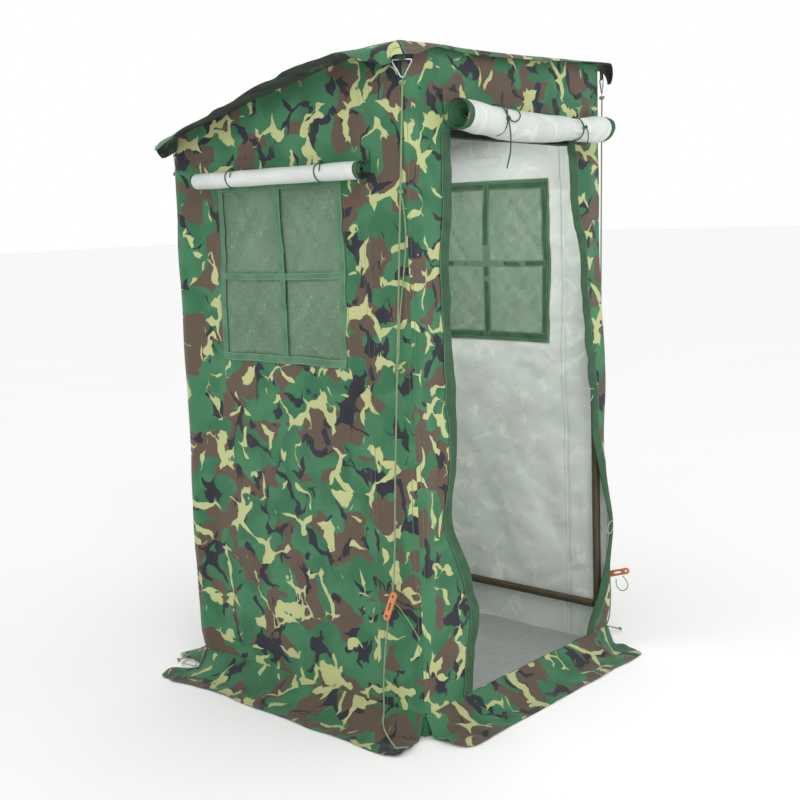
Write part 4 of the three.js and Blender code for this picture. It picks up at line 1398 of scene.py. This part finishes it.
def window_ties(wall):
    sx = WALLS[wall][1][0]
    material, body = "cord_dark", f"window_cover_{wall}"
    turn = full_turn(48)
    grow = 0.0274
    for name, y in WINDOW_TIES.items():
        x = sx * (HALF + WINDOW_ROLL_OUT + grow * np.cos(turn))
        path = np.stack([x, y + 0.004 * np.sin(turn), WINDOW_ROLL_AT + grow * np.sin(turn)], 1)
        made = tube(f"cover_tie_{wall}_{name}", path, 0.0017, material, closed=True, sides=8)
        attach(made, body)
        at = np.array([sx * (HALF + 0.030), y - 0.004, 1.7045])
        bow = knot(f"cover_knot_{wall}_{name}", at, 0.011, material, body, (sx, 0.2, 0.2))
        tail = beside(at, (sx * 0.010, -0.006, 0.002), (sx * 0.022, -0.014, -0.008),
                      (sx * 0.031, -0.019, -0.026))
        loose_cord(f"cover_tail_{wall}_{name}", tail, 0.0032, material, body)


window_ties("left")
window_ties("right")


def doorway_details():
    """A near-black strip along the top of the doorway, painted shade for the shadowed gap under the rolled
    flap, and short cord loops that hold the flap down.
    """
    # The near-black strip stands in for the shade in the gap under the rolled door flap.
    wall_strip("door_head_tape", "front", (-0.298, 1.771), (0.300, 1.757), 0.030, 0.0024, "painted_shade_tape")
    long_loop = ((-0.018, -0.004, 0.006), (-0.040, -0.006, -0.006), (-0.044, -0.005, -0.028),
                 (-0.024, -0.004, -0.036), (-0.002, -0.001, -0.020))
    short_loop = ((-0.016, -0.003, 0.004), (-0.020, -0.003, -0.006), (-0.002, 0.0, -0.012))
    for name, z, loop, material, lay in (
        ("upper", 0.93, long_loop, "cord_white", "hanging"),
        ("lower", 0.45, long_loop, "cord_white", "hanging"),
        ("tab", 1.448, short_loop, "cord_dark", "loose"),
    ):
        at = on_wall("front", float(eased(z, DOOR_RIGHT)) + 0.006, z, 0.0035)
        loose_cord(f"door_loop_{name}", beside(at, *loop), 0.003, material, "cabin")


doorway_details()


def rope_details():
    # Front left: the rope's doubled upper part, and the tail of the tensioner's cord
    path = rope_paths["front_left"]
    high, low = (path[np.argmin(np.abs(path[:, 2] - height))] for height in (1.61, 1.12))
    top_knot = knot("strand_knot_high", high, 0.013, "cord", "guy_front_left")
    low_knot = knot("strand_knot_low", low, 0.014, "cord", "guy_front_left")
    side = np.array([0.0045, -0.0105, 0.0])
    route = [high + (0, 0, -0.002), high + side * 0.6 + (0, 0, -0.04), high + side + (0, 0, -0.12),
             (high + low) / 2 + side * 1.15, low + side + (0, 0, 0.12), low + side * 0.6 + (0, 0, 0.04), low]
    loose_cord("strand_front_left", route, 0.004, "cord", "guy_front_left")
    tail = beside(np.array([-0.540, -0.417, 0.413]), (0.001, -0.014, 0.002), (0.006, -0.046, -0.028),
                  (0.012, -0.074, -0.066), (0.016, -0.092, -0.098))
    body = "tensioner_front_left"
    loose_cord("tensioner_tail_front_left", tail, 0.003, "cord", body)
    # Front right: the loop below the tensioner
    loop = beside(np.array([0.538, -0.545, 0.247]), (0.001, -0.012, -0.012), (0.0, -0.022, -0.030),
                  (-0.001, -0.012, -0.050), (-0.002, 0.006, -0.054), (-0.003, 0.022, -0.040),
                  (-0.003, 0.024, -0.016))
    body = "tensioner_front_right"
    loose_cord("tensioner_loop_front_right", loop, 0.0034, "cord", body)
    # Rear: a peg loop at the end of each side skirt
    turn = full_turn(48)
    for name, sx in (("left", -1), ("right", 1)):
        x, y = sx * (0.545 + 0.022 * np.cos(turn)), 0.556 + 0.030 * np.sin(turn)
        z = 0.006 + 0.005 * (1 + np.cos(turn * 2 + 0.6))
        loop = tube(f"peg_loop_{name}", np.stack([x, y, z], 1), 0.0024, "cord_white", closed=True, sides=8)
        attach(loop, "cabin")


rope_details()


# ---- Frame finishes ----

FINISHES = {
    "leg_": "tube", "top_rail": "tube", "low_rail": "tube", "corner_fitting": "fitting", "foot_": "foot",
}
for node in nodes:
    for start, finish in FINISHES.items():
        if node.startswith(start):
            finish_mesh(nodes[node].data, finish, 40)


# ---- Studio ----


def studio():
    scene.view_settings.view_transform = "Standard"
    world = bpy.data.worlds.new("studio")
    scene.world = world
    world.use_nodes = True
    world.node_tree.nodes["Background"].inputs[0].default_value = (1.0, 1.0, 1.0, 1)
    world.node_tree.nodes["Background"].inputs[1].default_value = 1.0
    g = Graph("studio_floor")
    where = g.place()
    g.finish(g.mix(g.noise(where, 0.8, 2.0).outputs[0], rgb(246, 246, 246), rgb(249, 249, 249)), 0.9)
    mesh = bpy.data.meshes.new("floor")
    mesh.from_pydata([(-60, -60, 0), (60, -60, 0), (60, 60, 0), (-60, 60, 0)], [], [(0, 1, 2, 3)])
    mesh.materials.append(g.material)
    add_object("floor", mesh)
    middle = Vector((0, 0, 1.0))
    for name, at, power, size, tilt in (
        ("key", (-3.4, -4.0, 4.4), 70, 2.2, None),
        ("fill", (1.6, -4.5, 2.2), 11, 2.0, None),
        # Daylight that the thin cloth lets through, from under the roof and along its slope
        ("glow", (-0.05, 0.0, 1.803), 6.6, 0.7, (-math.atan(ROOF_FRONT - ROOF_REAR), 0, 0)),
    ):
        lamp = add_object(name, bpy.data.lights.new(name, "AREA"))
        lamp.data.energy = power
        lamp.data.size = size
        lamp.location = at
        lamp.rotation_euler = tilt or (middle - Vector(at)).to_track_quat("-Z", "Y").to_euler()


studio()
